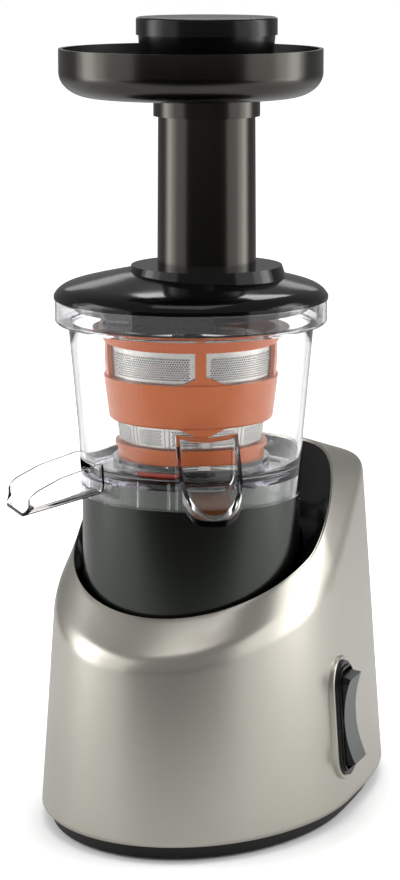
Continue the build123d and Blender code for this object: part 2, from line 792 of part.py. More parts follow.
with BuildPart() as rotor_bushes:
    for bush_bottom in (MOTOR_BOTTOM, PLATE_BOTTOM):
        with BuildSketch(MOTOR_PLANE.offset(bush_bottom)):
            Circle(BUSH_RADIUS)
            Circle(ROTOR_SHAFT_RADIUS + SLIP, mode=Mode.SUBTRACT)
        extrude(amount=PLATE_THICK)
finish(rotor_bushes, "rotor_bushes")

with BuildPart() as rotor_shaft:
    with BuildSketch(MOTOR_PLANE.offset(MOTOR_BOTTOM)):
        Circle(ROTOR_SHAFT_RADIUS)
    extrude(amount=FIRST_STAGE_BOTTOM + FIRST_STAGE_THICK + 1 - MOTOR_BOTTOM)
finish(rotor_shaft, "rotor_shaft")

with BuildPart() as rotor_core:
    with BuildSketch(MOTOR_PLANE.offset(STATOR_BOTTOM)):
        Circle(ROTOR_RADIUS)
        Circle(ROTOR_SHAFT_RADIUS, mode=Mode.SUBTRACT)
    extrude(amount=STATOR_TOP - STATOR_BOTTOM)
finish(rotor_core, "rotor_core")

with BuildPart() as cooling_fan:
    with BuildSketch(MOTOR_PLANE.offset(FAN_BOTTOM)):
        Circle(FAN_RADIUS)
        Circle(ROTOR_SHAFT_RADIUS, mode=Mode.SUBTRACT)
    extrude(amount=1.5)
    with BuildSketch(MOTOR_PLANE.offset(FAN_BOTTOM)):
        with PolarLocations(19, FAN_BLADES):
            Rectangle(20, 1.5)
        Circle(BUSH_RADIUS)
        Circle(ROTOR_SHAFT_RADIUS, mode=Mode.SUBTRACT)
    extrude(amount=FAN_THICK)
finish(cooling_fan, "cooling_fan")

# ================================================================ rocker switch
with BuildPart() as switch_bezel:
    with BuildSketch(SWITCH_PLANE.offset(-BODY_WALL)):
        SlotOverall(BEZEL_HIGH, BEZEL_WIDE, rotation=90)
    extrude(amount=BODY_WALL + BEZEL_OUT)
    with BuildSketch(SWITCH_PLANE.offset(BEZEL_OUT)):
        RectangleRounded(
            OPENING_WIDE + 2 * BEZEL_LIP_WALL, OPENING_HIGH + 2 * BEZEL_LIP_WALL, OPENING_CORNER + BEZEL_LIP_WALL
        )
    extrude(amount=BEZEL_LIP)
    with BuildSketch(SWITCH_PLANE.offset(-SWITCH_BOX_FRONT)):
        RectangleRounded(OPENING_WIDE + 2, OPENING_HIGH + 2, OPENING_CORNER)
    extrude(amount=SWITCH_BOX_FRONT)
    with BuildSketch(SWITCH_PLANE.offset(-SWITCH_BOX_FRONT)):
        RectangleRounded(OPENING_WIDE, OPENING_HIGH, OPENING_CORNER - 1)
    extrude(amount=SWITCH_BOX_FRONT + BEZEL_OUT + BEZEL_LIP, mode=Mode.SUBTRACT)
finish(switch_bezel, "switch_bezel")

with BuildPart() as switch_body:
    with BuildSketch(SWITCH_PLANE.offset(-SWITCH_BOX_FRONT)):
        RectangleRounded(OPENING_WIDE + 2, OPENING_HIGH + 2, OPENING_CORNER)
    extrude(amount=-2)
    with BuildSketch(SWITCH_PLANE.offset(-SWITCH_BOX_FRONT - 2)):
        Rectangle(OPENING_WIDE - 3, SWITCH_BOX_HIGH)
    extrude(amount=-SWITCH_BOX_DEEP)
    with BuildSketch(SWITCH_PLANE.offset(-SWITCH_BOX_FRONT - 2 - SWITCH_BOX_DEEP)):
        with GridLocations(0, 12, 1, 3):
            Rectangle(5, 0.8)
    extrude(amount=-7)
finish(switch_body, "switch_body")

ROCKER_SIDE = Plane(origin=SWITCH_PLANE.origin, x_dir=SWITCH_PLANE.z_dir, z_dir=(0, -1, 0))
with BuildPart() as rocker_button:
    with BuildSketch(ROCKER_SIDE):
        with BuildLine():
            corner_low = (ROCKER_OUT, -ROCKER_TOP_HIGH / 2)
            corner_high = (ROCKER_OUT, ROCKER_TOP_HIGH / 2)
            ThreePointArc(corner_low, (ROCKER_OUT - ROCKER_DIP, 0), corner_high)
            Polyline(
                corner_high,
                (0, ROCKER_HIGH / 2),
                (-ROCKER_IN, ROCKER_HIGH / 2),
                (-ROCKER_IN, -ROCKER_HIGH / 2),
                (0, -ROCKER_HIGH / 2),
                corner_low,
            )
        make_face()
    extrude(amount=ROCKER_WIDE / 2, both=True)
    with BuildSketch(SWITCH_PLANE.offset(-ROCKER_IN)):
        RectangleRounded(ROCKER_WIDE, ROCKER_HIGH, ROCKER_CORNER)
    extrude(amount=ROCKER_IN + ROCKER_OUT, mode=Mode.INTERSECT)
finish(rocker_button, "rocker_button")

# ================================================================ electrics
with BuildPart() as circuit_board:
    with BuildSketch(Plane.XZ.offset(-BOARD_Y)):
        with Locations((0, FOOT_OUT + BASE_FLOOR + BOARD_HIGH / 2)):
            Rectangle(BOARD_WIDE, BOARD_HIGH)
    extrude(amount=BOARD_THICK)
    with BuildSketch(Plane.XZ.offset(-BOARD_Y)):
        with Locations((-16, 30)):
            Rectangle(18, 15)
    extrude(amount=-12)
    with BuildSketch(Plane.XZ.offset(-BOARD_Y)):
        with Locations((12, 30)):
            Circle(6)
    extrude(amount=-20)
    with BuildSketch(Plane.XZ.offset(-BOARD_Y)):
        with Locations((2, 12)):
            Rectangle(34, 8)
    extrude(amount=-9)
finish(circuit_board, "circuit_board")

with BuildPart() as safety_switch:
    with BuildSketch(Plane.XY.offset(PLATEAU_TOP - TOWER_WALL)):
        with Locations((0, 34)):
            Rectangle(20, 7)
    extrude(amount=-10)
    with BuildSketch(Plane.XY.offset(PLATEAU_TOP - TOWER_WALL - 10)):
        with Locations((0, 34)):
            with GridLocations(7, 0, 3, 1):
                Rectangle(0.8, 4)
    extrude(amount=-4)
finish(safety_switch, "safety_switch")

with BuildPart() as cord_gland:
    with BuildSketch(GLAND_PLANE.offset(-2 * BODY_WALL)):
        Circle(GLAND_RADIUS - 2)
    extrude(amount=2 * BODY_WALL)
    with BuildSketch(GLAND_PLANE.offset(0.4)):
        Circle(GLAND_RADIUS)
    extrude(amount=GLAND_OUT, taper=18)
    with BuildSketch(GLAND_PLANE):
        Circle(GLAND_RADIUS - 2)
    extrude(amount=0.4)
    with BuildSketch(GLAND_PLANE.offset(-2 * BODY_WALL)):
        Circle(GLAND_BORE)
    extrude(amount=2 * BODY_WALL + GLAND_OUT + 1, mode=Mode.SUBTRACT)
finish(cord_gland, "cord_gland")

# ================================================================ clear bowl
BOWL_SIDE = [
    (BOWL_FOOT_RADIUS, BOWL_FOOT),
    (BOWL_WAIST_RADIUS, BOWL_WAIST),
    (BOWL_SHOULDER_RADIUS, BOWL_SHOULDER),
    (LEDGE_RADIUS, LEDGE_BOTTOM),
    (FLANGE_RADIUS, FLANGE_BOTTOM),
    (FLANGE_RADIUS, FLANGE_TOP),
]
bowl_draft = (BOWL_WAIST_RADIUS - BOWL_FOOT_RADIUS) / (BOWL_WAIST - BOWL_FOOT)
floor_corner = (BOWL_FOOT_RADIUS - BOWL_WALL + bowl_draft * (BOWL_FLOOR - BOWL_FOOT), BOWL_FLOOR)
with BuildPart() as juicing_bowl:
    with BuildSketch(Plane.XZ) as bowl_profile:
        with BuildLine():
            Polyline(
                *BOWL_SIDE,
                (FLANGE_RADIUS - FLANGE_WALL, FLANGE_TOP),
                (FLANGE_RADIUS - FLANGE_WALL, BOWL_SHELF),
                (BOWL_SHOULDER_RADIUS - BOWL_WALL + 1, BOWL_SHELF),
                (BOWL_SHOULDER_RADIUS - BOWL_WALL, BOWL_SHOULDER),
                (BOWL_WAIST_RADIUS - BOWL_WALL, BOWL_WAIST),
                floor_corner,
                (SEAT_RADIUS + 0.5, BOWL_FLOOR),
                (SEAT_RADIUS, SEAT_TOP),
                (BOWL_BORE, SEAT_TOP),
                (BOWL_BORE, SEAT_TOP - SEAT_THICK),
                (SEAT_RADIUS - SEAT_THICK, SEAT_TOP - SEAT_THICK),
                (SEAT_RADIUS - SEAT_THICK, BOWL_FLOOR - BOWL_FLOOR_THICK),
                (BOWL_FOOT_RADIUS - BOWL_WALL, BOWL_FLOOR - BOWL_FLOOR_THICK),
                (BOWL_FOOT_RADIUS - BOWL_WALL, BOWL_FOOT),
                close=True,
            )
        make_face()
        fillet(bowl_profile.vertices().sort_by_distance(floor_corner)[0], BOWL_CORNER)
    revolve(axis=Axis.Z)
    for k in range(LUG_COUNT):
        catch_heading = LUG_HEADING - LUG_ANGLE / 2 + CATCH_ANGLE / 2 + 3 + k * 360 / LUG_COUNT
        with BuildSketch(Plane.XY.offset(LUG_TOE_TOP + SEAT)):
            Polygon(
                *sector_points(LUG_WEB + SEAT, FLANGE_RADIUS - FLANGE_WALL / 2, catch_heading, CATCH_ANGLE),
                align=None,
            )
        extrude(amount=CATCH_THICK)
    for side in (-1, 1):
        with BuildSketch(heading_plane(STOP_HEADING + side * 1.5)):
            with Locations((FLANGE_RADIUS, FLANGE_BOTTOM + 3)):
                Rectangle(2 * STOP_RIB_OUT, 6)
        extrude(amount=STOP_RIB_WIDE / 2, both=True)
    with BuildSketch(heading_plane(JUICE_HEADING)):
        with Locations((BOWL_FOOT_RADIUS, (PORT_LOW + JUICE_PORT_TOP) / 2)):
            Rectangle(4 * BOWL_WALL, JUICE_PORT_TOP - PORT_LOW)
    extrude(amount=JUICE_WIDE / 2 - 2 * SPOUT_WALL, both=True, mode=Mode.SUBTRACT)
    with BuildSketch(heading_plane(PULP_HEADING)):
        with Locations((BOWL_FOOT_RADIUS, (PORT_LOW + PULP_PORT_TOP) / 2)):
            Rectangle(4 * BOWL_WALL, PULP_PORT_TOP - PORT_LOW)
    extrude(amount=PULP_WIDE / 2 - 1.5 * SPOUT_WALL, both=True, mode=Mode.SUBTRACT)
finish(juicing_bowl, "juicing_bowl")

with BuildPart() as bowl_envelope:
    with BuildSketch(Plane.XZ):
        with BuildLine():
            Polyline((0, BOWL_FOOT - 30), (BOWL_FOOT_RADIUS, BOWL_FOOT - 30), *BOWL_SIDE, (0, FLANGE_TOP), close=True)
        make_face()
    revolve(axis=Axis.Z)


def channel(heading, root, tip, wide, corner, inset):
    """A bar with rounded lower edges lying along a spout's floor, which falls from root to tip."""
    side = heading_plane(heading)
    run, drop = tip[0] - root[0], root[1] - tip[1]
    down_slope = side.x_dir * run - side.y_dir * drop
    section = Plane(
        origin=side.from_local_coords((root[0], root[1] + inset, 0)), x_dir=-side.z_dir, z_dir=down_slope
    )
    with BuildPart() as bar:
        with BuildSketch(section):
            with Locations((0, CHANNEL_HIGH / 2)):
                RectangleRounded(wide - 2 * inset, CHANNEL_HIGH, corner - inset)
        extrude(amount=CHANNEL_HIGH, both=True)
    return bar.part


def plan_slot(heading, reach, wide, inset):
    """An upright block whose plan is a strip with a half-round end."""
    turn = radians(heading)
    flat = Plane(origin=(0, 0, PULP_TIP_Z - 20), x_dir=(sin(turn), -cos(turn), 0), z_dir=(0, 0, 1))
    with BuildPart() as block:
        with BuildSketch(flat):
            with Locations(((reach - wide / 2) / 2, 0)):
                Rectangle(reach - wide / 2, wide - 2 * inset)
            with Locations((reach - wide / 2, 0)):
                Circle(wide / 2 - inset)
        extrude(amount=CHANNEL_HIGH)
    return block.part


juice_root = (BOWL_FOOT_RADIUS, JUICE_BOTTOM)
juice_tip = (JUICE_REACH, JUICE_TIP_BOTTOM)
juice_outer = channel(JUICE_HEADING, juice_root, juice_tip, JUICE_WIDE, JUICE_FLOOR_ROUND, 0)
juice_inner = channel(JUICE_HEADING, juice_root, juice_tip, JUICE_WIDE, JUICE_FLOOR_ROUND, SPOUT_WALL)
juice_turn = radians(JUICE_HEADING)
juice_flat = Plane(
    origin=(0, 0, JUICE_TIP_BOTTOM - SPOUT_WALL), x_dir=(sin(juice_turn), -cos(juice_turn), 0), z_dir=(0, 0, 1)
)
with BuildPart() as juice_plan:
    with BuildSketch(juice_flat):
        RectangleRounded(2 * JUICE_REACH, JUICE_WIDE, JUICE_CORNER)
    extrude(amount=CHANNEL_HIGH)
with BuildPart() as juice_spout:
    with BuildSketch(heading_plane(JUICE_HEADING)):
        with BuildLine():
            Polyline(
                (LEDGE_RADIUS / 2, JUICE_TOP),
                (BOWL_FOOT_RADIUS, JUICE_TOP),
                (JUICE_SHOULDER, JUICE_SHOULDER_Z),
                (JUICE_BROW, JUICE_BROW_Z),
            )
            ThreePointArc((JUICE_BROW, JUICE_BROW_Z), (JUICE_NOSE, JUICE_NOSE_Z), juice_tip)
            Polyline(juice_tip, juice_root, (LEDGE_RADIUS / 2, JUICE_BOTTOM), (LEDGE_RADIUS / 2, JUICE_TOP))
        make_face()
    extrude(amount=JUICE_WIDE / 2, both=True)
    add(juice_outer, mode=Mode.INTERSECT)
    add(juice_plan.part, mode=Mode.INTERSECT)
    add(juice_inner, mode=Mode.SUBTRACT)
    add(bowl_envelope.part, mode=Mode.SUBTRACT)
finish(juice_spout, "juice_spout")

pulp_root = (BOWL_FOOT_RADIUS, PULP_BOTTOM)
pulp_tip = (PULP_REACH, PULP_TIP_Z)
pulp_outer = channel(PULP_HEADING, pulp_root, pulp_tip, PULP_WIDE, PULP_FLOOR_ROUND, 0)
pulp_inner = channel(PULP_HEADING, pulp_root, pulp_tip, PULP_WIDE, PULP_FLOOR_ROUND, SPOUT_WALL)
with BuildPart() as pulp_passage:
    with BuildSketch(heading_plane(PULP_HEADING)):
        with BuildLine():
            Polyline(
                (LEDGE_RADIUS / 2, PULP_TOP - SPOUT_WALL),
                (BOWL_FOOT_RADIUS, PULP_TOP - SPOUT_WALL),
                (PULP_LIP_REACH - SPOUT_WALL, PULP_LIP_Z),
                (PULP_LIP_REACH - SPOUT_WALL / 2, PULP_LIP_Z + CHANNEL_HIGH),
                (PULP_REACH + PULP_WIDE, PULP_LIP_Z + CHANNEL_HIGH),
                (PULP_REACH + PULP_WIDE, PULP_TIP_Z - PULP_WIDE),
                (LEDGE_RADIUS / 2, PULP_TIP_Z - PULP_WIDE),
                close=True,
            )
        make_face()
    extrude(amount=PULP_WIDE / 2, both=True)
    add(pulp_inner, mode=Mode.INTERSECT)
    add(plan_slot(PULP_HEADING, PULP_REACH, PULP_WIDE, SPOUT_WALL), mode=Mode.INTERSECT)
with BuildPart() as pulp_spout:
    with BuildSketch(heading_plane(PULP_HEADING)):
        with BuildLine():
            Polyline(
                (LEDGE_RADIUS / 2, PULP_TOP),
                (BOWL_FOOT_RADIUS + SPOUT_WALL / 2, PULP_TOP),
                (PULP_LIP_REACH, PULP_LIP_Z),
                (PULP_REACH, PULP_TIP_Z + SPOUT_WALL + 1),
                (PULP_REACH, PULP_TIP_Z - 1),
                (BOWL_FOOT_RADIUS, PULP_BOTTOM - 1),
                (LEDGE_RADIUS / 2, PULP_BOTTOM - 1),
                close=True,
            )
        make_face()
    extrude(amount=PULP_WIDE / 2, both=True)
    add(pulp_outer, mode=Mode.INTERSECT)
    add(plan_slot(PULP_HEADING, PULP_REACH, PULP_WIDE, 0), mode=Mode.INTERSECT)
    add(pulp_passage.part, mode=Mode.SUBTRACT)
    add(bowl_envelope.part, mode=Mode.SUBTRACT)
finish(pulp_spout, "pulp_spout")

with BuildPart() as pulp_plug:
    with BuildSketch(Plane.XY.offset(BOWL_FLOOR)):
        Polygon(*sector_points(PLUG_INNER, PLUG_OUTER, PLUG_HEADING, PLUG_ANGLE), align=None)
    extrude(amount=PLUG_HIGH)
    fillet(pulp_plug.edges().filter_by(Axis.Z), 2)
finish(pulp_plug, "pulp_plug")

with BuildPart() as bowl_seal:
    with BuildSketch(Plane.XY.offset(SEAT_TOP - SEAT_THICK)):
        Circle(BOWL_BORE)
        Circle(AUGER_HUB_RADIUS + SEAT, mode=Mode.SUBTRACT)
    extrude(amount=SEAT_THICK)
finish(bowl_seal, "bowl_seal")

# ================================================================ strainer
wall_draft = (WINDOW_TOP_RADIUS - WINDOW_BOTTOM_RADIUS) / (WINDOW_TOP - WINDOW_BOTTOM)


def basket_radius(z):
    """Radius of the strainer's inner face, where the steel sheet lies against the frame."""
    return WINDOW_BOTTOM_RADIUS - FRAME_WALL + wall_draft * (z - WINDOW_BOTTOM)


def bump_points(base, rise):
    """A low smooth mound, from where it starts to where it has died away."""
    shares = [k / BUMP_STEPS for k in range(-BUMP_STEPS, BUMP_STEPS + 1)]
    return [(share * BUMP_HALF_WIDE, base + rise * (1 + cos(pi * share)) / 2) for share in shares]


def mound(base, rise):
    """The mound cut radially outwards through the strainer's wall at BUMP_HEADING."""
    turn = radians(BUMP_HEADING)
    front = Plane(origin=(0, 0, 0), x_dir=(cos(turn), sin(turn), 0), z_dir=(sin(turn), -cos(turn), 0))
    with BuildPart() as shape:
        with BuildSketch(front):
            Polygon(*bump_points(base, rise), align=None)
        extrude(amount=STRAINER_RIM_RADIUS)
    return shape.part


LEDGE_IN = 219.2
SHEET_LAP = 1.5
posts = [SIDE_POSTS[0], (POST_HEADING, POST_ANGLE), *SIDE_POSTS[1:]]
with BuildPart() as window_cuts:
    for k, (heading, width) in enumerate(posts):
        next_heading, next_width = posts[(k + 1) % len(posts)]
        start = heading + width / 2
        end = next_heading - next_width / 2 + (360 if k == len(posts) - 1 else 0)
        with BuildSketch(Plane.XY.offset(WINDOW_BOTTOM)):
            Polygon(
                *sector_points(AUGER_DISC_RADIUS, STRAINER_RIM_RADIUS, (start + end) / 2, end - start, 12),
                align=None,
            )
        extrude(amount=WINDOW_TOP - WINDOW_BOTTOM)
    add(mound(WINDOW_BOTTOM, BUMP_RISE), mode=Mode.SUBTRACT)
with BuildPart() as strainer_frame:
    with BuildSketch(Plane.XZ) as frame_profile:
        with BuildLine():
            Polyline(
                (STRAINER_RIM_RADIUS, STRAINER_RIM_TOP),
                (STRAINER_RIM_RADIUS, STRAINER_RIM_TOP - STRAINER_RIM_THICK),
                (STEP_RADIUS, STRAINER_RIM_TOP - STRAINER_RIM_THICK),
                (STEP_RADIUS, STEP_BOTTOM),
                (NECK_RADIUS, STEP_BOTTOM),
                (NECK_RADIUS, WINDOW_TOP),
                (WINDOW_TOP_RADIUS, WINDOW_TOP),
                (WINDOW_BOTTOM_RADIUS, WINDOW_BOTTOM),
                (BAND_TOP_RADIUS, WINDOW_BOTTOM),
                (BAND_BOTTOM_RADIUS, BAND_BOTTOM),
                (MESH_TOP_RADIUS, BAND_BOTTOM),
                (MESH_TOP_RADIUS, LEDGE_IN),
                (basket_radius(LEDGE_IN), LEDGE_IN),
                (basket_radius(STRAINER_RIM_TOP), STRAINER_RIM_TOP),
                close=True,
            )
        make_face()
        fillet(
            frame_profile.vertices().sort_by_distance((BAND_BOTTOM_RADIUS, BAND_BOTTOM))[0],
            BAND_ROUND - 0.6,
        )
    revolve(axis=Axis.Z)
    add(window_cuts.part, mode=Mode.SUBTRACT)
with BuildPart() as band_tab:
    with BuildSketch(Plane.XY.offset(BAND_BOTTOM - BUMP_RISE)):
        Circle(BAND_BOTTOM_RADIUS - 1)
        Circle(MESH_TOP_RADIUS + 0.6, mode=Mode.SUBTRACT)
    extrude(amount=2 * BUMP_RISE)
    add(mound(BAND_BOTTOM, -BUMP_RISE), mode=Mode.INTERSECT)
with BuildPart() as strainer_cage:
    add(strainer_frame.part)
    add(band_tab.part)
finish(strainer_cage, "strainer_frame")

with BuildPart() as strainer_foot:
    with BuildSketch(Plane.XZ):
        with BuildLine():
            Polyline(
                (RING_INNER, SEAT_TOP),
                (RING_RADIUS, SEAT_TOP),
                (RING_RADIUS, MESH_FOOT - RING_FLANGE_THICK),
                (RING_FLANGE, MESH_FOOT - RING_FLANGE_THICK),
                (RING_FLANGE, MESH_FOOT),
                (RING_INNER, MESH_FOOT),
                close=True,
            )
        make_face()
    revolve(axis=Axis.Z)
finish(strainer_foot, "strainer_foot")

with BuildPart() as mesh_upper:
    with BuildSketch(Plane.XZ):
        with BuildLine():
            Polyline(
                (basket_radius(WINDOW_BOTTOM - SHEET_LAP), WINDOW_BOTTOM - SHEET_LAP),
                (basket_radius(WINDOW_TOP + SHEET_LAP), WINDOW_TOP + SHEET_LAP),
                (basket_radius(WINDOW_TOP + SHEET_LAP) - SHEET_THICK, WINDOW_TOP + SHEET_LAP),
                (basket_radius(WINDOW_BOTTOM - SHEET_LAP) - SHEET_THICK, WINDOW_BOTTOM - SHEET_LAP),
                close=True,
            )
        make_face()
    revolve(axis=Axis.Z)
finish(mesh_upper, "mesh_upper")

with BuildPart() as mesh_lower:
    with BuildSketch(Plane.XZ):
        with BuildLine():
            Polyline(
                (MESH_FOOT_RADIUS, MESH_FOOT),
                (MESH_TOP_RADIUS, BAND_BOTTOM),
                (MESH_TOP_RADIUS, LEDGE_IN),
                (MESH_TOP_RADIUS - SHEET_THICK, LEDGE_IN),
                (MESH_TOP_RADIUS - SHEET_THICK, BAND_BOTTOM),
                (MESH_FOOT_RADIUS - SHEET_THICK, MESH_FOOT),
                close=True,
            )
        make_face()
    revolve(axis=Axis.Z)
finish(mesh_lower, "mesh_lower")

# ================================================================ auger
flight_foot = AUGER_FOOT + AUGER_DISC_THICK / 2
flight_step = (FLIGHT_TOP - flight_foot) / FLIGHT_PIECES
flight_twist = FLIGHT_TURN / FLIGHT_PIECES
flight_pieces = []
for start in range(FLIGHT_COUNT):
    with BuildSketch() as flight_section:
        Polygon(
            *sector_points(AUGER_CORE_TOP - 2, FLIGHT_RADIUS, start * 360 / FLIGHT_COUNT, FLIGHT_ANGLE),
            align=None,
        )
    for piece in range(FLIGHT_PIECES):
        level = flight_foot + flight_step * piece
        flight_pieces.append(
            Solid.extrude_linear_with_rotation(
                Pos(0, 0, level) * Rot(0, 0, flight_twist * piece) * flight_section.sketch.faces()[0],
                (0, 0, level),
                (0, 0, flight_step),
                flight_twist,
            )
        )
with BuildPart() as auger_screw:
    with BuildSketch(Plane.XZ):
        with BuildLine():
            Polyline(
                (AUGER_HUB_RADIUS, AUGER_FOOT),
                (AUGER_DISC_RADIUS, AUGER_FOOT),
                (AUGER_DISC_RADIUS, AUGER_FOOT + AUGER_DISC_THICK),
                (AUGER_CORE_BOTTOM, AUGER_FOOT + AUGER_DISC_THICK),
                (AUGER_CORE_TOP, AUGER_CORE_SHOULDER),
                (PIN_RADIUS + 2, AUGER_TOP),
                (PIN_RADIUS, AUGER_TOP),
                (PIN_RADIUS, PIN_TOP),
                (0, PIN_TOP),
                (0, AUGER_HUB_TOP),
                (AUGER_HUB_RADIUS, AUGER_HUB_TOP),
                close=True,
            )
        make_face()
    revolve(axis=Axis.Z)
    for piece in flight_pieces:
        add(piece)
finish(auger_screw, "auger_screw")

with BuildPart() as auger_socket:
    with BuildSketch(Plane.XY.offset(HEX_BOTTOM + SEAT)):
        Circle(AUGER_HUB_RADIUS)
    extrude(amount=AUGER_HUB_TOP - HEX_BOTTOM - SEAT)
    with BuildSketch(Plane.XY.offset(HEX_BOTTOM + SEAT)):
        RegularPolygon(HEX_FLATS / 2 + HEX_SLACK, 6, major_radius=False)
    extrude(amount=HEX_TOP + 1 - HEX_BOTTOM, mode=Mode.SUBTRACT)
finish(auger_socket, "auger_socket")

# ================================================================ lid
lid_crown = [(LID_RADIUS, LID_BOTTOM + LID_EDGE_HIGH), (59.6, 288.8), (43.0, 292.6), (0, LID_DOME_TOP)]
lid_under = [(x * (LID_RADIUS - LID_WALL) / LID_RADIUS, z - LID_WALL) for x, z in lid_crown]
throat_axis = Axis((TUBE_X, 0, 0), (0, 0, 1))
with BuildPart() as lid:
    with BuildSketch(Plane.XZ):
        with BuildLine():
            Line((LID_RADIUS, LID_BOTTOM), lid_crown[0])
            Spline(*lid_crown, tangents=[(-0.5, 1), (-1, 0)])
            Line(lid_crown[-1], lid_under[-1])
            Spline(*reversed(lid_under), tangents=[(1, 0), (0.5, -1)])
            Polyline(lid_under[0], (lid_under[0][0], LID_BOTTOM), (LID_RADIUS, LID_BOTTOM))
        make_face()
    revolve(axis=Axis.Z)
    with BuildSketch(Plane((TUBE_X, 0, BOSS_FOOT))):
        Circle(BOSS_FOOT_RADIUS)
    with BuildSketch(Plane((TUBE_X, 0, BOSS_TOP))):
        Circle(BOSS_TOP_RADIUS)
    loft()
    with BuildSketch(Plane((TUBE_X, 0, BOSS_FOOT - 1))):
        Circle(BOSS_FOOT_RADIUS - LID_WALL)
    with BuildSketch(Plane((TUBE_X, 0, BOSS_TOP - LID_WALL))):
        Circle(BOSS_TOP_RADIUS - LID_WALL)
    loft(mode=Mode.SUBTRACT)
    with BuildSketch(Plane.XY.offset(BOSS_FOOT - 1)):
        with Locations((TUBE_X, 0)):
            Circle(TUBE_FOOT_RADIUS + THROAT_WALL)
    extrude(amount=BOSS_TOP - BOSS_FOOT)
    with BuildSketch(Plane.XY.offset(THROAT_BOTTOM)):
        with Locations((TUBE_X, 0)):
            Circle(THROAT_RADIUS + THROAT_WALL)
    extrude(amount=BOSS_FOOT - THROAT_BOTTOM)
    with BuildSketch(Plane.XY.offset(THROAT_BOTTOM)):
        with Locations((TUBE_X, 0)):
            Circle(THROAT_RADIUS)
    extrude(amount=BOSS_TOP - THROAT_BOTTOM, mode=Mode.SUBTRACT)
    with BuildSketch(Plane.XY.offset(BOSS_TOP - BOSS_SOCKET)):
        with Locations((TUBE_X, 0)):
            Circle(TUBE_FOOT_RADIUS)
    extrude(amount=BOSS_SOCKET, mode=Mode.SUBTRACT)
    with BuildSketch(Plane.XY.offset(THROAT_BOTTOM)):
        Rectangle(BRIDGE_WIDE, 2 * sqrt(THROAT_RADIUS**2 - TUBE_X**2) + THROAT_WALL)
        Circle(PIN_RADIUS + BUSH_WALL)
    extrude(amount=BRIDGE_HIGH)
    with BuildSketch(Plane.XY.offset(THROAT_BOTTOM)):
        Circle(PIN_RADIUS + SLIP)
    extrude(amount=BRIDGE_HIGH, mode=Mode.SUBTRACT)
    for k in range(LUG_COUNT):
        lug_heading = LUG_HEADING + k * 360 / LUG_COUNT
        with BuildSketch(Plane.XY.offset(LUG_BOTTOM)):
            Polygon(*sector_points(LUG_INNER, LUG_WEB, lug_heading, LUG_ANGLE, 12), align=None)
        extrude(amount=LID_BOTTOM + LID_EDGE_HIGH - LUG_BOTTOM)
        with BuildSketch(Plane.XY.offset(LUG_BOTTOM)):
            Polygon(*sector_points(LUG_INNER, LUG_TOE, lug_heading, LUG_ANGLE, 12), align=None)
        extrude(amount=LUG_TOE_TOP - LUG_BOTTOM)
finish(lid, "lid")

with BuildPart() as lid_seal:
    with BuildSketch(Plane.XY.offset(SEAL_BOTTOM)):
        Circle(SEAL_OUTER)
        Circle(SEAL_OUTER - SEAL_WALL, mode=Mode.SUBTRACT)
    extrude(amount=BOSS_FOOT - SEAL_BOTTOM)
    add(lid.part, mode=Mode.SUBTRACT)
finish(lid_seal, "lid_seal")

with BuildPart() as feed_tube:
    with BuildSketch(Plane.XZ):
        with BuildLine():
            Polyline(
                (TUBE_X + THROAT_RADIUS, BOSS_TOP - BOSS_SOCKET),
                (TUBE_X + TUBE_FOOT_RADIUS, BOSS_TOP - BOSS_SOCKET),
                (TUBE_X + TUBE_FOOT_RADIUS, BOSS_TOP),
                (TUBE_X + TUBE_TOP_RADIUS, TUBE_SHOULDER),
                (TUBE_X + TUBE_NECK_RADIUS, TUBE_SHOULDER),
                (TUBE_X + TUBE_NECK_RADIUS, TUBE_TOP),
                (TUBE_X + THROAT_RADIUS, TUBE_TOP),
                close=True,
            )
        make_face()
    revolve(axis=throat_axis)
finish(feed_tube, "feed_tube")

# ================================================================ hopper tray and pusher
tray_flat = TRAY_RADIUS - TRAY_CORNER_WIDE
tray_bend = TRAY_BOTTOM + TRAY_CORNER_HIGH
with BuildPart() as hopper_tray:
    with BuildSketch(Plane.XZ):
        with BuildLine():
            Line((0, TRAY_BOTTOM), (tray_flat, TRAY_BOTTOM))
            EllipticalCenterArc((tray_flat, tray_bend), TRAY_CORNER_WIDE, TRAY_CORNER_HIGH, 270, arc_size=90)
            Polyline(
                (TRAY_RADIUS, tray_bend),
                (TRAY_RADIUS, TRAY_TOP),
                (TRAY_RADIUS - TRAY_WALL, TRAY_TOP),
                (TRAY_RADIUS - TRAY_WALL, tray_bend),
            )
            EllipticalCenterArc(
                (tray_flat, tray_bend),
                TRAY_CORNER_WIDE - TRAY_WALL,
                TRAY_CORNER_HIGH - TRAY_WALL,
                270,
                arc_size=90,
            )
            Polyline((tray_flat, TRAY_BOTTOM + TRAY_WALL), (0, TRAY_BOTTOM + TRAY_WALL), (0, TRAY_BOTTOM))
        make_face()
    revolve(axis=Axis.Z)
    with BuildSketch(Plane.XY.offset(TUBE_SHOULDER + SEAT)):
        with Locations((TUBE_X, 0)):
            Circle(TRAY_COLLAR)
    extrude(amount=TRAY_BOTTOM - TUBE_SHOULDER)
    with BuildSketch(Plane.XY.offset(TUBE_SHOULDER)):
        with Locations((TUBE_X, 0)):
            Circle(TUBE_NECK_RADIUS + SEAT)
    extrude(amount=TRAY_TOP - TUBE_SHOULDER, mode=Mode.SUBTRACT)
finish(hopper_tray, "hopper_tray")

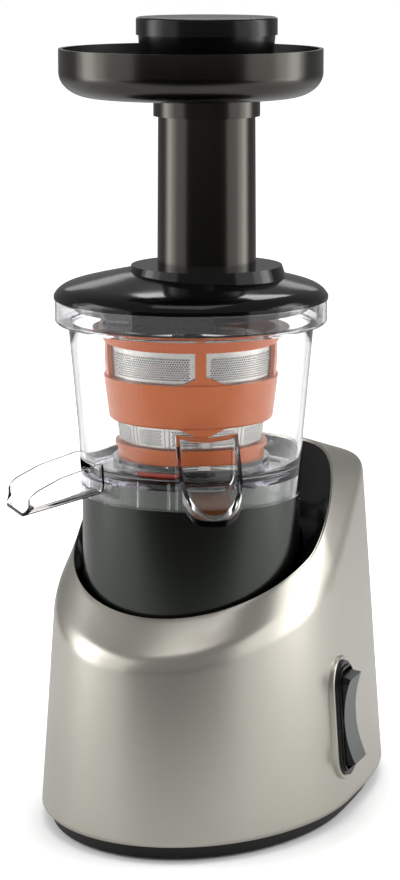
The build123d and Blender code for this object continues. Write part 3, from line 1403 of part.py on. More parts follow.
pusher_rest = TRAY_BOTTOM + TRAY_WALL + SEAT
cap_inside = PUSHER_TOP - PUSHER_WALL
with BuildPart() as pusher_cap:
    with BuildSketch(Plane.XZ) as cap_profile:
        with BuildLine():
            Polyline(
                (TUBE_X, PUSHER_TOP),
                (TUBE_X + PUSHER_CAP_RADIUS, PUSHER_TOP),
                (TUBE_X + PUSHER_CAP_RADIUS, PUSHER_CAP_BOTTOM),
                (TUBE_X + PUSHER_NECK_TOP, PUSHER_CAP_BOTTOM),
                (TUBE_X + PUSHER_NECK_MID, PUSHER_NECK_MID_Z),
                (TUBE_X + PUSHER_NECK_FOOT, pusher_rest),
                (TUBE_X + PUSHER_NECK_FOOT - PUSHER_WALL, pusher_rest),
                (TUBE_X + PUSHER_NECK_MID - PUSHER_WALL, PUSHER_NECK_MID_Z + 1),
                (TUBE_X + PUSHER_NECK_TOP - PUSHER_WALL, cap_inside),
                (TUBE_X, cap_inside),
                close=True,
            )
        make_face()
        fillet(
            cap_profile.vertices().sort_by_distance((TUBE_X + PUSHER_CAP_RADIUS, PUSHER_TOP))[0], CAP_ROUND
        )
    revolve(axis=throat_axis)
finish(pusher_cap, "pusher_cap")

with BuildPart() as pusher_shaft:
    with BuildSketch(Plane.XY.offset(PUSHER_FOOT)):
        with Locations((TUBE_X, 0)):
            Circle(PUSHER_SHAFT)
    extrude(amount=cap_inside - PUSHER_FOOT)
    with BuildSketch(Plane.XY.offset(PUSHER_FOOT + PUSHER_WALL)):
        with Locations((TUBE_X, 0)):
            Circle(PUSHER_SHAFT - PUSHER_WALL)
    extrude(amount=cap_inside - PUSHER_FOOT, mode=Mode.SUBTRACT)
finish(pusher_shaft, "pusher_shaft")
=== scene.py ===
import math

import bmesh
import bpy
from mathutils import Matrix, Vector


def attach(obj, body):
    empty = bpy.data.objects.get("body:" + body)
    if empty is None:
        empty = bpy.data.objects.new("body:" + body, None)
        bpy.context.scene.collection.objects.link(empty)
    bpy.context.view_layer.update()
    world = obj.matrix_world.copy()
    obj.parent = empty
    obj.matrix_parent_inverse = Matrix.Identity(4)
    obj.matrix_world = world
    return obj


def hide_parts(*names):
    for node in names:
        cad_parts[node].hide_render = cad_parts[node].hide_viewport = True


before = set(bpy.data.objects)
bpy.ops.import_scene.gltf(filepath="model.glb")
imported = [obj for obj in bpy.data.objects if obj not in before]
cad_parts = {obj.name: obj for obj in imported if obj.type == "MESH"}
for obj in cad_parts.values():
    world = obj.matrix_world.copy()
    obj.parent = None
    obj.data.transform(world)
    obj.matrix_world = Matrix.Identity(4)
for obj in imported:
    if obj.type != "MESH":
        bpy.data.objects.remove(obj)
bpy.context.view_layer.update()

# Camera: a long lens, nearly a metre and a half away and a little above the cap. It looks down
# eleven degrees and is turned twenty degrees towards the switch side.
VIEW_DOWN, VIEW_TURN = 10.67, 20.0
view_lens = bpy.data.cameras.new("view_lens")
view_lens.lens = 114.34
view_lens.sensor_width = 36.0
view_lens.clip_end = 30.0
view_camera = bpy.data.objects.new("view_camera", view_lens)
view_camera.location = (0.50035, -1.36095, 0.477)
view_camera.rotation_euler = (math.radians(90.0 - VIEW_DOWN), 0.0, math.radians(VIEW_TURN))
bpy.context.scene.collection.objects.link(view_camera)
bpy.context.scene.camera = view_camera
bpy.context.scene.view_settings.view_transform = "Standard"


# Studio: a white room with a white paper table. On each side stand three soft lamps, each wider than
# the one before, so that dark gloss takes two upright streaks that fade into a dark band between them.
# Three more light it from above and from behind.
def colour(hexa):
    """A colour written as sRGB hex, as the linear value that the shaders take."""
    parts = [int(hexa[i:i + 2], 16) / 255 for i in (1, 3, 5)]
    return tuple(c / 12.92 if c <= 0.04045 else ((c + 0.055) / 1.055) ** 2.4 for c in parts) + (1.0,)


def add_node(tree, kind, settings=None, inputs=None):
    """One node in a tree: its own settings by name, its sockets by name or number as a value or a link."""
    made = tree.nodes.new(kind)
    for key, value in (settings or {}).items():
        setattr(made, key, value)
    for key, value in (inputs or {}).items():
        if isinstance(value, bpy.types.NodeSocket):
            tree.links.new(value, made.inputs[key])
        else:
            made.inputs[key].default_value = value
    return made


def new_finish(name):
    """An empty material with its tree and output."""
    finish = bpy.data.materials.new(name)
    finish.use_nodes = True
    finish.node_tree.nodes.clear()
    return finish, finish.node_tree, finish.node_tree.nodes.new("ShaderNodeOutputMaterial")


# White room: looked at itself it is pure white. Through clear plastic it is white ahead and dim at the
# sides, so that an edge which bends the view draws a dark line. All else gets a low, even light from it.
TOWARDS_CAMERA = (0.345, -0.939, 0.0)
DIM_SIDES, LOW_LIGHT = 0.30, 0.20
SIDES_END, AHEAD_STARTS = 0.25, 0.85
room = bpy.data.worlds.new("white_room")
bpy.context.scene.world = room
room.use_nodes = True
air = room.node_tree
air.nodes.clear()
sight = add_node(air, "ShaderNodeLightPath")
direction = add_node(air, "ShaderNodeTexCoord")
along = add_node(air, "ShaderNodeVectorMath", {"operation": "DOT_PRODUCT"},
                 {0: direction.outputs["Generated"], 1: TOWARDS_CAMERA})
along = add_node(air, "ShaderNodeMath", {"operation": "ABSOLUTE"}, {0: along.outputs["Value"]})
ahead = add_node(air, "ShaderNodeMapRange", {"interpolation_type": "SMOOTHSTEP"},
                 {"Value": along.outputs[0], "From Min": SIDES_END, "From Max": AHEAD_STARTS,
                  "To Min": DIM_SIDES})
through = add_node(air, "ShaderNodeMath", {"operation": "MULTIPLY"},
                   {0: sight.outputs["Is Transmission Ray"], 1: ahead.outputs[0]})
seen = add_node(air, "ShaderNodeMath", {"operation": "MAXIMUM"},
                {0: sight.outputs["Is Camera Ray"], 1: through.outputs[0]})
level = add_node(air, "ShaderNodeMath", {"operation": "MAXIMUM"}, {0: seen.outputs[0], 1: LOW_LIGHT})
glow = add_node(air, "ShaderNodeBackground", None,
                {"Color": colour("#FFFFFF"), "Strength": level.outputs[0]})
add_node(air, "ShaderNodeOutputWorld", None, {"Surface": glow.outputs[0]})


def soft_lamp(name, place, aim, wide, high, watts):
    """A white lamp with a flat front, wide by high metres, that stands at a place and faces an aim."""
    lamp = bpy.data.lights.new(name, "AREA")
    lamp.shape = "RECTANGLE"
    lamp.size = wide
    lamp.size_y = high
    lamp.energy = watts
    stand = bpy.data.objects.new(name, lamp)
    stand.location = place
    stand.rotation_euler = (Vector(aim) - Vector(place)).to_track_quat("-Z", "Y").to_euler()
    bpy.context.scene.collection.objects.link(stand)


BOWL_HEART, HOUSING_HEART, UPPER_HALF = (0, 0, 0.25), (0, 0, 0.15), (0, 0, 0.5)
BASE_TOP = (0, 0, 0.2)
soft_lamp("left_core_strip", (-1.12, -0.26, 0.45), BOWL_HEART, 0.32, 1.3, 2.1)
soft_lamp("left_middle_box", (-1.11, -0.30, 0.45), BOWL_HEART, 0.75, 1.4, 2.9)
soft_lamp("left_wide_box", (-0.96, -0.64, 0.45), BOWL_HEART, 1.25, 1.5, 4.2)
soft_lamp("right_core_strip", (1.01, 0.55, 0.45), BOWL_HEART, 0.32, 1.3, 2.1)
soft_lamp("right_middle_box", (1.04, 0.48, 0.45), BOWL_HEART, 0.75, 1.4, 3.2)
soft_lamp("right_wide_box", (1.14, 0.12, 0.36), HOUSING_HEART, 1.25, 1.4, 4.4)
soft_lamp("overhead_box", (0.0, -0.1, 1.7), BASE_TOP, 0.8, 0.8, 2.2)
soft_lamp("back_top_box", (-0.3, 1.3, 1.6), BASE_TOP, 0.9, 0.6, 6.0)
soft_lamp("low_back_strip", (-0.62, 1.70, 0.86), UPPER_HALF, 1.2, 0.24, 0.8)

# Paper table: matt white card that shines white further out, where it meets the room with no edge. Its
# glow is painted down round the machine's foot as painted shade, and occlusion paints a contact shadow
# close under it. Gloss sees grey card past its front, which keeps black parts deep.
TABLE_REACH = 6.0
SHADE_START, SHADE_END, SHADE_LEVEL, CONTACT_SHADOW_REACH = 0.12, 0.32, 0.74, 0.05
GREY_START, GREY_END = 0.38, 0.62
table_finish, tree, out = new_finish("matt_white_card")
sight = add_node(tree, "ShaderNodeLightPath")
place = add_node(tree, "ShaderNodeTexCoord")
distance = add_node(tree, "ShaderNodeVectorMath", {"operation": "LENGTH"}, {0: place.outputs["Object"]})
# Painted shade: near the machine's foot the table's glow is painted down to a lower level.
painted_foot_shade = add_node(tree, "ShaderNodeMapRange", {"interpolation_type": "SMOOTHSTEP"},
                {"Value": distance.outputs["Value"], "From Min": SHADE_START, "From Max": SHADE_END,
                 "To Min": SHADE_LEVEL})
looked = add_node(tree, "ShaderNodeMath", {"operation": "MAXIMUM"},
                  {0: sight.outputs["Is Camera Ray"], 1: sight.outputs["Is Transmission Ray"]})
# Painted contact shadow: occlusion darkens the table's glow close under the machine.
painted_contact_shadow = add_node(tree, "ShaderNodeAmbientOcclusion", {"samples": 8}, {"Distance": CONTACT_SHADOW_REACH})
lift = add_node(tree, "ShaderNodeMath", {"operation": "MULTIPLY"},
                {0: looked.outputs[0], 1: painted_foot_shade.outputs[0]})
lift = add_node(tree, "ShaderNodeMath", {"operation": "MULTIPLY"},
                {0: lift.outputs[0], 1: painted_contact_shadow.outputs["AO"]})
white_card = add_node(tree, "ShaderNodeBsdfDiffuse", None, {"Color": colour("#F4F4F4")})
grey_card = add_node(tree, "ShaderNodeBsdfDiffuse", None, {"Color": colour("#4A4A4A")})
in_front = add_node(tree, "ShaderNodeVectorMath", {"operation": "DOT_PRODUCT"},
                    {0: place.outputs["Object"], 1: TOWARDS_CAMERA})
past_front = add_node(tree, "ShaderNodeMapRange", {"interpolation_type": "SMOOTHSTEP"},
                      {"Value": in_front.outputs["Value"], "From Min": GREY_START, "From Max": GREY_END})
mirrored = add_node(tree, "ShaderNodeMath", {"operation": "MULTIPLY"},
                    {0: sight.outputs["Is Glossy Ray"], 1: past_front.outputs[0]})
card = add_node(tree, "ShaderNodeMixShader", None,
                {"Fac": mirrored.outputs[0], 1: white_card.outputs[0], 2: grey_card.outputs[0]})
shine = add_node(tree, "ShaderNodeEmission", None, {"Color": colour("#FFFFFF"), "Strength": lift.outputs[0]})
both = add_node(tree, "ShaderNodeAddShader", None, {0: card.outputs[0], 1: shine.outputs[0]})
tree.links.new(both.outputs[0], out.inputs["Surface"])
corners = [(TABLE_REACH * x, TABLE_REACH * y, 0) for x, y in ((-1, -1), (1, -1), (1, 1), (-1, 1))]
table_mesh = bpy.data.meshes.new("table")
table_mesh.from_pydata(corners, [], [(0, 1, 2, 3)])
table_mesh.materials.append(table_finish)
table = bpy.data.objects.new("table", table_mesh)
bpy.context.scene.collection.objects.link(table)


# Base, feet and seals: a black tray of glass-filled nylon, moulded with a fine spark texture and held
# from below by four screws with sunk heads. It stands on five rubber feet set in round pockets. The
# seals and the cord's gland are moulded from the same rubber.
def moulded(name, hexa, rough, grain_mm, depth, extra=None):
    """Pigmented moulded plastic or rubber: even colour, with the mould's own grain in roughness and bump.
    The grain is drawn coarser than a real mould's, which is too fine to show."""
    finish, tree, out = new_finish(name)
    place = add_node(tree, "ShaderNodeTexCoord")
    grain = add_node(tree, "ShaderNodeTexNoise", None,
                     {"Vector": place.outputs["Object"], "Scale": 1000.0 / grain_mm, "Detail": 3.0})
    uneven = add_node(tree, "ShaderNodeMapRange", None,
                      {"Value": grain.outputs[0], "To Min": rough * 0.85, "To Max": min(rough * 1.15, 1.0)})
    bump = add_node(tree, "ShaderNodeBump", None,
                    {"Strength": depth, "Distance": 0.0002, "Height": grain.outputs[0]})
    skin = add_node(tree, "ShaderNodeBsdfPrincipled", None,
                    {"Base Color": colour(hexa), "Roughness": uneven.outputs[0], "Normal": bump.outputs[0],
                     **(extra or {})})
    tree.links.new(skin.outputs[0], out.inputs["Surface"])
    return finish


def dress(finish, *names):
    """Pieces of the solid model that stay as they are take a finish in the slots they came with."""
    for name in names:
        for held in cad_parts[name].material_slots:
            held.material = finish


# Spark texture breaks up the light, so that the base reads as one even, dull black.
textured_nylon = moulded("spark_textured_black_nylon", "#1F201E", 0.5, 0.8, 0.35)
dress(textured_nylon, "base_plate")
# Rubber is blacker and duller still, with no clear highlight.
soft_rubber = moulded("moulded_black_rubber", "#141414", 0.7, 0.4, 0.03)
dress(soft_rubber, "rubber_feet", "cord_gland", "tower_seal", "bowl_seal", "lid_seal")


# Housing: a deep-drawn oval shell of sheet metal, sprayed with satin champagne-silver lacquer. Its wall
# leans in to a soft edge, and a crown slants from there up to the rim of the black recess. A low lip is
# pressed out of the wall round the slot for the switch.
SHELL_HALF_WIDTH = 0.0836
SHELL_FRONT, SHELL_BACK, SHELL_CENTRE_Y = -0.0910, 0.1554, 0.0202
SHELL_POWERS = (2.0, 3.0)
SHELL_BOTTOM, SHELL_FOOT_ROUND, SHELL_WALL = 0.009, 0.0006, 0.0008
LEAN_ANGLE = math.radians(4.0)
SHELL_LEAN = math.tan(LEAN_ANGLE)
RIM_HALF_WIDTH, RIM_FRONT, RIM_BACK, RIM_CENTRE_Y = 0.0683, -0.0618, 0.0984, 0.019
RIM_POWERS = (2.02, 2.02)
RIM_SLANT = {"level": 0.1456, "slope": 0.39, "start": 0.0, "end": 0.084, "top": 0.1921}
CREASE_SLANT = {"level": 0.1275, "slope": 0.28, "start": 0.004, "end": 0.1064, "top": 0.178}


def slant_height(y, level, slope, start, end, top):
    """Height of an edge that slants up towards the back and eases into a level top from start to end."""
    share = min(max((y - start) / (end - start), 0.0), 1.0)
    rise = share * share * (3 - 2 * share)
    return (level + slope * y) * (1 - rise) + top * rise


def oval(turn, half_width, front, back, centre_y, front_power, back_power):
    """A point of an oval whose front and back halves have their own reach and squareness."""
    across, along = math.cos(turn), math.sin(turn)
    power = front_power if along < 0 else back_power
    reach = centre_y - front if along < 0 else back - centre_y
    return (half_width * math.copysign(abs(across) ** (2 / power), across),
            centre_y + reach * math.copysign(abs(along) ** (2 / power), along))


def shell_point(turn, inset):
    """A point of the shell's outline at its foot, drawn in all round by an inset."""
    return oval(turn, SHELL_HALF_WIDTH - inset, SHELL_FRONT + inset, SHELL_BACK - inset, SHELL_CENTRE_Y,
                *SHELL_POWERS)


def rim_point(turn, inset):
    """A point of the recess's rim, drawn in all round by an inset."""
    return oval(turn, RIM_HALF_WIDTH - inset, RIM_FRONT + inset, RIM_BACK - inset, RIM_CENTRE_Y, *RIM_POWERS)


SWITCH_Y, SWITCH_Z = 0.015, 0.056
SLOT_WIDE, SLOT_HIGH = 0.0285, 0.0645
switch_out = Vector((math.cos(LEAN_ANGLE), 0.0, math.sin(LEAN_ANGLE)))
switch_up = Vector((-switch_out.z, 0.0, switch_out.x))
switch_middle = Vector((SHELL_HALF_WIDTH - (SWITCH_Z - SHELL_BOTTOM) * SHELL_LEAN, SWITCH_Y, SWITCH_Z))


def in_switch_slot(point):
    """Whether a point of the right-hand wall lies inside the round-ended upright slot for the switch."""
    across = point.y - SWITCH_Y
    up = max(abs((point - switch_middle).dot(switch_up)) - (SLOT_HIGH - SLOT_WIDE) / 2, 0.0)
    return point.x > 0 and across * across + up * up < SLOT_WIDE * SLOT_WIDE / 4


def skin_mesh(name, rows, finish, left_out=None, wall=0.0):
    """A smooth mesh through rings of points, each ring as long as the next, given a wall if asked."""
    count = len(rows[0])
    points = [p for row in rows for p in row]
    faces = []
    for r in range(len(rows) - 1):
        for k in range(count):
            n = (k + 1) % count
            face = (r * count + k, r * count + n, (r + 1) * count + n, (r + 1) * count + k)
            middle = (Vector(points[face[0]]) + Vector(points[face[2]])) / 2
            if not left_out or not left_out(middle):
                faces.append(face)
    mesh = bpy.data.meshes.new(name)
    mesh.from_pydata(points, [], faces)
    mesh.materials.append(finish)
    mesh.validate()
    mesh.shade_smooth()
    made = bpy.data.objects.new(name, mesh)
    bpy.context.scene.collection.objects.link(made)
    if wall:
        sheet = made.modifiers.new("wall", "SOLIDIFY")
        sheet.thickness = wall
        sheet.offset = -1.0
        bpy.context.view_layer.update()
        thick = bpy.data.meshes.new_from_object(made.evaluated_get(bpy.context.evaluated_depsgraph_get()))
        made.modifiers.clear()
        made.data = thick
        thick.set_sharp_from_angle(angle=math.radians(50.0))
    return made


# Satin lacquer full of fine metal flakes: a pale, warm silver that spreads each lamp into a broad soft
# glow. Real flakes are a few hundredths of a millimetre across, so they are drawn coarser to show, and
# the sprayed coat's gloss drifts a little over a few centimetres.
FLAKE_MM, SPRAY_DRIFT_MM = 0.385, 33.3
satin_lacquer, tree, out = new_finish("satin_champagne_silver_lacquer")
place = add_node(tree, "ShaderNodeTexCoord")
flake = add_node(tree, "ShaderNodeTexNoise", None,
                 {"Vector": place.outputs["Object"], "Scale": 1000.0 / FLAKE_MM, "Detail": 2.0})
drift = add_node(tree, "ShaderNodeTexNoise", None,
                 {"Vector": place.outputs["Object"], "Scale": 1000.0 / SPRAY_DRIFT_MM, "Detail": 1.0})
tone = add_node(tree, "ShaderNodeMix", {"data_type": "RGBA"},
                {"Factor": flake.outputs[0], 6: colour("#CECABF"), 7: colour("#DEDBD0")})
uneven = add_node(tree, "ShaderNodeMapRange", None,
                  {"Value": drift.outputs[0], "To Min": 0.28, "To Max": 0.32})
bump = add_node(tree, "ShaderNodeBump", None,
                {"Strength": 0.05, "Distance": 0.0001, "Height": flake.outputs[0]})
skin = add_node(tree, "ShaderNodeBsdfPrincipled", None,
                {"Base Color": tone.outputs[2], "Metallic": 0.9, "Roughness": uneven.outputs[0],
                 "Normal": bump.outputs[0], "Coat Weight": 0.15, "Coat Roughness": 0.25})
tree.links.new(skin.outputs[0], out.inputs["Surface"])

# The shell's skin is laid in rings from its foot up the wall, round the soft edge, over the crown and
# down inside the rim.
TURNS, WALL_STEPS, EDGE_STEPS, CROWN_STEPS, EDGE_TRIES = 480, 56, 10, 8, 4
EDGE_SOFTNESS, RIM_ROUND = 0.0065, 0.0007
RIM_TURN, RIM_SAG, RIM_LIP = 0.0012, 0.0002, 0.0040
turns = [2 * math.pi * (k + 0.5) / TURNS for k in range(TURNS)]
feet = [Vector((*shell_point(t, 0.0), SHELL_BOTTOM + SHELL_FOOT_ROUND)) for t in turns]
wall_edge, crown_edge = [], []
for t in turns:
    x, y = shell_point(t, 0.0)
    for _ in range(EDGE_TRIES):
        z = slant_height(y, **CREASE_SLANT)
        x, y = shell_point(t, (z - SHELL_BOTTOM) * SHELL_LEAN)
    wall_edge.append(Vector((x, y, z)))
    x, y = rim_point(t, RIM_ROUND)
    crown_edge.append(Vector((x, y, slant_height(y, **RIM_SLANT))))
below = [edge + (foot - edge).normalized() * EDGE_SOFTNESS for edge, foot in zip(wall_edge, feet)]
above = [edge + (top - edge) * min(EDGE_SOFTNESS / (top - edge).length, 0.5)
         for edge, top in zip(wall_edge, crown_edge)]
last = [top + (up - top).normalized() * RIM_TURN for up, top in zip(above, crown_edge)]
rows = [[(*shell_point(t, SHELL_FOOT_ROUND), SHELL_BOTTOM) for t in turns], [tuple(p) for p in feet]]
for step in range(1, WALL_STEPS + 1):
    rows.append([tuple(foot.lerp(low, step / WALL_STEPS)) for foot, low in zip(feet, below)])
for step in range(1, EDGE_STEPS):
    share = step / EDGE_STEPS
    rows.append([tuple(low * (1 - share) ** 2 + edge * 2 * share * (1 - share) + high * share ** 2)
                 for low, edge, high in zip(below, wall_edge, above)])
for step in range(CROWN_STEPS + 1):
    rows.append([tuple(high.lerp(end, step / CROWN_STEPS)) for high, end in zip(above, last)])
rows.append([tuple(p - Vector((0, 0, RIM_SAG))) for p in crown_edge])
for drop in (RIM_TURN, RIM_LIP):
    rows.append([(*rim_point(t, 2 * RIM_ROUND), p.z - drop) for t, p in zip(turns, crown_edge)])
housing = skin_mesh("housing_skin", rows, satin_lacquer, in_switch_slot, SHELL_WALL)


def slot_outline(wide, high, steps=24):
    """Points round an upright slot with round ends, as sideways and upward steps from its middle."""
    ends = []
    for sign in (1, -1):
        for k in range(steps + 1):
            turn = math.pi * k / steps + (0 if sign > 0 else math.pi)
            ends.append((wide / 2 * math.cos(turn), sign * (high - wide) / 2 + wide / 2 * math.sin(turn)))
    return ends


def on_switch(points, rise):
    """The points of an outline, laid on the leaning wall at the switch and moved out from it by a rise."""
    return [tuple(switch_middle + Vector((0, across, 0)) + switch_up * up + switch_out * rise)
            for across, up in points]


# The lip's section is given as steps in from its outline and out from the wall.
LIP_WIDE, LIP_HIGH, LIP_OUT, LIP_ROOT, LIP_THICK = 0.031, 0.067, 0.0013, -0.0030, 0.0025
LIP_SECTION = ((0.0, LIP_ROOT), (0.0, 0.0006), (0.0003, 0.0011), (0.0008, LIP_OUT), (0.0020, LIP_OUT),
               (0.0023, 0.0011), (LIP_THICK, 0.0006), (LIP_THICK, LIP_ROOT))
lip_rows = [on_switch(slot_outline(LIP_WIDE - 2 * inset, LIP_HIGH - 2 * inset), rise)
            for inset, rise in LIP_SECTION]
switch_lip = skin_mesh("switch_lip", lip_rows, satin_lacquer)
for piece in (housing, switch_lip):
    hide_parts("body_shell")
    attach(piece, "base")


# Recess liner and rocker switch: the liner is black ABS from a polished mould, and the bezel from a
# duller one. The bezel sits in its slot, and the rocker tips inside it, moulded in two colours with
# black sides under a grey dished face.
def eased_copy(name, stands_for, body, finish, sharp=28.0, clearance=0.0):
    """A piece of the solid model with its seams merged, so that its round faces shade without facets.
    A clearance draws its skin in, which leaves air between it and the pieces that it touches."""
    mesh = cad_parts[stands_for].data.copy()
    welded = bmesh.new()
    welded.from_mesh(mesh)
    bmesh.ops.remove_doubles(welded, verts=welded.verts, dist=0.00001)
    for face in welded.faces:
        face.material_index = 0
        face.smooth = True
    welded.normal_update()
    drawn_in = [vert.co - vert.normal * clearance for vert in welded.verts]
    for vert, place in zip(welded.verts, drawn_in):
        vert.co = place
    welded.to_mesh(mesh)
    welded.free()
    if "custom_normal" in mesh.attributes:
        mesh.attributes.remove(mesh.attributes["custom_normal"])
    mesh.materials.clear()
    mesh.materials.append(finish)
    mesh.set_sharp_from_angle(angle=math.radians(sharp))
    made = bpy.data.objects.new(name, mesh)
    bpy.context.scene.collection.objects.link(made)
    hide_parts(stands_for)
    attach(made, body)
    return made


# Polished black: no colour of its own, only sharp reflections of the lamps and the bowl.
piano_black = moulded("polished_black_abs", "#0B0B0E", 0.12, 6.0, 0.0)
dress(piano_black, "recess_liner")
# Semi-gloss black: the same plastic with softer reflections, which sets the bezel off from the liner.
bezel_black = moulded("semi_gloss_black_abs", "#141414", 0.25, 2.0, 0.01)
eased_copy("black_bezel", "switch_bezel", "base", bezel_black)
# Satin grey: a flat mid grey with a wide dull sheen down the dished face.
grey_abs = moulded("satin_grey_abs", "#6E7370", 0.42, 0.9, 0.03)
# Faces that look out of the wall at least this much are the grey front, where 1 is straight out.
FACES_OUTWARD = 0.55
rocker = eased_copy("two_colour_rocker", "rocker_button", "rocker", grey_abs, 35.0)
rocker.data.materials.append(bezel_black)
for face in rocker.data.polygons:
    face.material_index = 0 if face.normal.dot(switch_out) > FACES_OUTWARD else 1

# Inside of the base: glass-filled nylon plates and covers carry the motor and two gear stages. Shafts,
# screws, bearings and most gears are steel, the bushes are bronze, and the first wheel and the fan are
# nylon. Little of it shows once the machine is together.
dress(textured_nylon, "gear_plate", "gear_deck", "gearbox_cover", "switch_body", "safety_switch")


def bare_metal(name, hexa, rough, mark_mm):
    """Uncoated metal: one colour, with its gloss uneven at the size of the marks that working it left."""
    finish, tree, out = new_finish(name)
    place = add_node(tree, "ShaderNodeTexCoord")
    marks = add_node(tree, "ShaderNodeTexNoise", None,
                     {"Vector": place.outputs["Object"], "Scale": 1000.0 / mark_mm, "Detail": 2.0})
    uneven = add_node(tree, "ShaderNodeMapRange", None,
                      {"Value": marks.outputs[0], "To Min": rough * 0.7, "To Max": rough * 1.3})
    skin = add_node(tree, "ShaderNodeBsdfPrincipled", None,
                    {"Base Color": colour(hexa), "Metallic": 1.0, "Roughness": uneven.outputs[0]})
    tree.links.new(skin.outputs[0], out.inputs["Surface"])
    return finish


# Turned steel: bright neutral grey with lively highlights.
dress(bare_metal("turned_steel", "#B9B9B6", 0.3, 1.5), "base_screws", "deck_screws", "shaft_bearings",
      "drive_shaft", "output_gear", "lay_shaft", "lay_pinion", "rotor_shaft", "motor_pinion", "auger_socket")
# Sintered bronze: dull yellow-brown, its pores too fine to see.
dress(bare_metal("sintered_bronze", "#B08A50", 0.45, 0.5), "lay_bushes", "rotor_bushes")
# Zinc plate: a cooler, flatter grey with faint patches.
dress(bare_metal("zinc_plated_steel", "#A9ABAA", 0.4, 6.0), "motor_can")
# Laminations: dark grey stacks of thin sheet, dull from their varnish.
dress(bare_metal("stacked_laminations", "#6A6A6A", 0.5, 0.6), "stator_core", "rotor_core")
# Natural nylon: creamy white and waxy.
dress(moulded("natural_nylon", "#DAD6C6", 0.45, 1.2, 0.1), "lay_wheel", "cooling_fan")
# Solder mask: dark green with a soft shine.
dress(moulded("green_solder_mask", "#1E5A34", 0.3, 1.0, 0.1), "circuit_board")


# Motor tower, feed tube, tray and pusher cap: round pieces sprayed with dark metallic lacquer. The tower
# is a drum that stands on the gear deck. The tray is only set on the tube, so that it lifts off.
def metallic_lacquer(name, dark, light, metal, rough, coat):
    """Dark lacquer whose flakes lift the colour where a lamp strikes and leave the rest nearly black."""
    finish, tree, out = new_finish(name)
    place = add_node(tree, "ShaderNodeTexCoord")
    flake = add_node(tree, "ShaderNodeTexNoise", None,
                     {"Vector": place.outputs["Object"], "Scale": 1000.0 / FLAKE_MM, "Detail": 2.0})
    tone = add_node(tree, "ShaderNodeMix", {"data_type": "RGBA"},
                    {"Factor": flake.outputs[0], 6: colour(dark), 7: colour(light)})
    uneven = add_node(tree, "ShaderNodeMapRange", None,
                      {"Value": flake.outputs[0], "To Min": rough * 0.94, "To Max": rough * 1.06})
    skin = add_node(tree, "ShaderNodeBsdfPrincipled", None,
                    {"Base Color": tone.outputs[2], "Metallic": metal, "Roughness": uneven.outputs[0],
                     "Coat Weight": coat, "Coat Roughness": 0.08})
    tree.links.new(skin.outputs[0], out.inputs["Surface"])
    return finish


# Anthracite: a warm dark grey that turns to bronze-tinged streaks down the tube and along the tray.
anthracite = metallic_lacquer("anthracite_metallic_lacquer", "#4D4B47", "#595752", 1.0, 0.21, 0.05)
eased_copy("lacquered_tube", "feed_tube", "lid", anthracite)
tray = eased_copy("lacquered_tray", "hopper_tray", "tray", anthracite)
# Inside black: the tray's inside is drawn plain, dull black, apart from the lacquered outside. It goes
# on the faces from the floor up, within the rim, that look at the axis or up.
tray_inside_black = moulded("dull_black_tray_inside_abs", "#0B0B0B", 0.45, 1.5, 0.02)
TRAY_FLOOR, TRAY_INSIDE = 0.3858, 0.0662
FACES_INWARD, FACES_UP = 0.25, 0.6
tray.data.materials.append(tray_inside_black)
for face in tray.data.polygons:
    reach = math.hypot(face.center.x, face.center.y)
    inward = -(face.normal.x * face.center.x + face.normal.y * face.center.y) / max(reach, 0.001)
    turned_in = inward > FACES_INWARD or face.normal.z > FACES_UP
    if face.center.z > TRAY_FLOOR and reach < TRAY_INSIDE and turned_in:
        face.material_index = 1
# Black pearl: nearly black, with a thin bright line on the cap's edges.
black_pearl = metallic_lacquer("black_pearl_lacquer", "#141413", "#191917", 0.35, 0.22, 0.1)
eased_copy("lacquered_cap", "pusher_cap", "pusher", black_pearl)
# Dark green-grey: cooler than the tube, with one wide soft streak on each side of the drum.
drum_lacquer = metallic_lacquer("dark_green_grey_lacquer", "#4C504B", "#585C56", 1.0, 0.21, 0.05)
eased_copy("lacquered_tower", "motor_tower", "base", drum_lacquer)

# Clear bowl and its two spouts: clear copolyester, injection-moulded in a polished mould. The bowl
# drops over the tower and lifts off with its spouts. A hair of air keeps them off what they touch, so
# that light leaves one piece before it enters the next.
BOWL_CLEARANCE = 0.00005
# Clear copolyester: see-through with a faint violet-grey cast, which gathers where the eye looks along a
# wall or through an edge. Where a face is seen edge-on its colour is also painted grey, a painted shade
# that draws dark edge lines. Slow waves as wide as a finger bend what is seen through it a little.
WAVE_MM = 16.7
EDGE_SHADE_START, EDGE_SHADE_FULL = 0.70, 0.98
clear_plastic, tree, out = new_finish("clear_copolyester")
place = add_node(tree, "ShaderNodeTexCoord")
waves = add_node(tree, "ShaderNodeTexNoise", None,
                 {"Vector": place.outputs["Object"], "Scale": 1000.0 / WAVE_MM, "Detail": 1.0})
bump = add_node(tree, "ShaderNodeBump", None,
                {"Strength": 0.05, "Distance": 0.0004, "Height": waves.outputs[0]})
edge_on = add_node(tree, "ShaderNodeLayerWeight", None, {"Blend": 0.5, "Normal": bump.outputs[0]})
edge = add_node(tree, "ShaderNodeMapRange", {"interpolation_type": "SMOOTHSTEP"},
                {"Value": edge_on.outputs["Facing"], "From Min": EDGE_SHADE_START, "From Max": EDGE_SHADE_FULL})
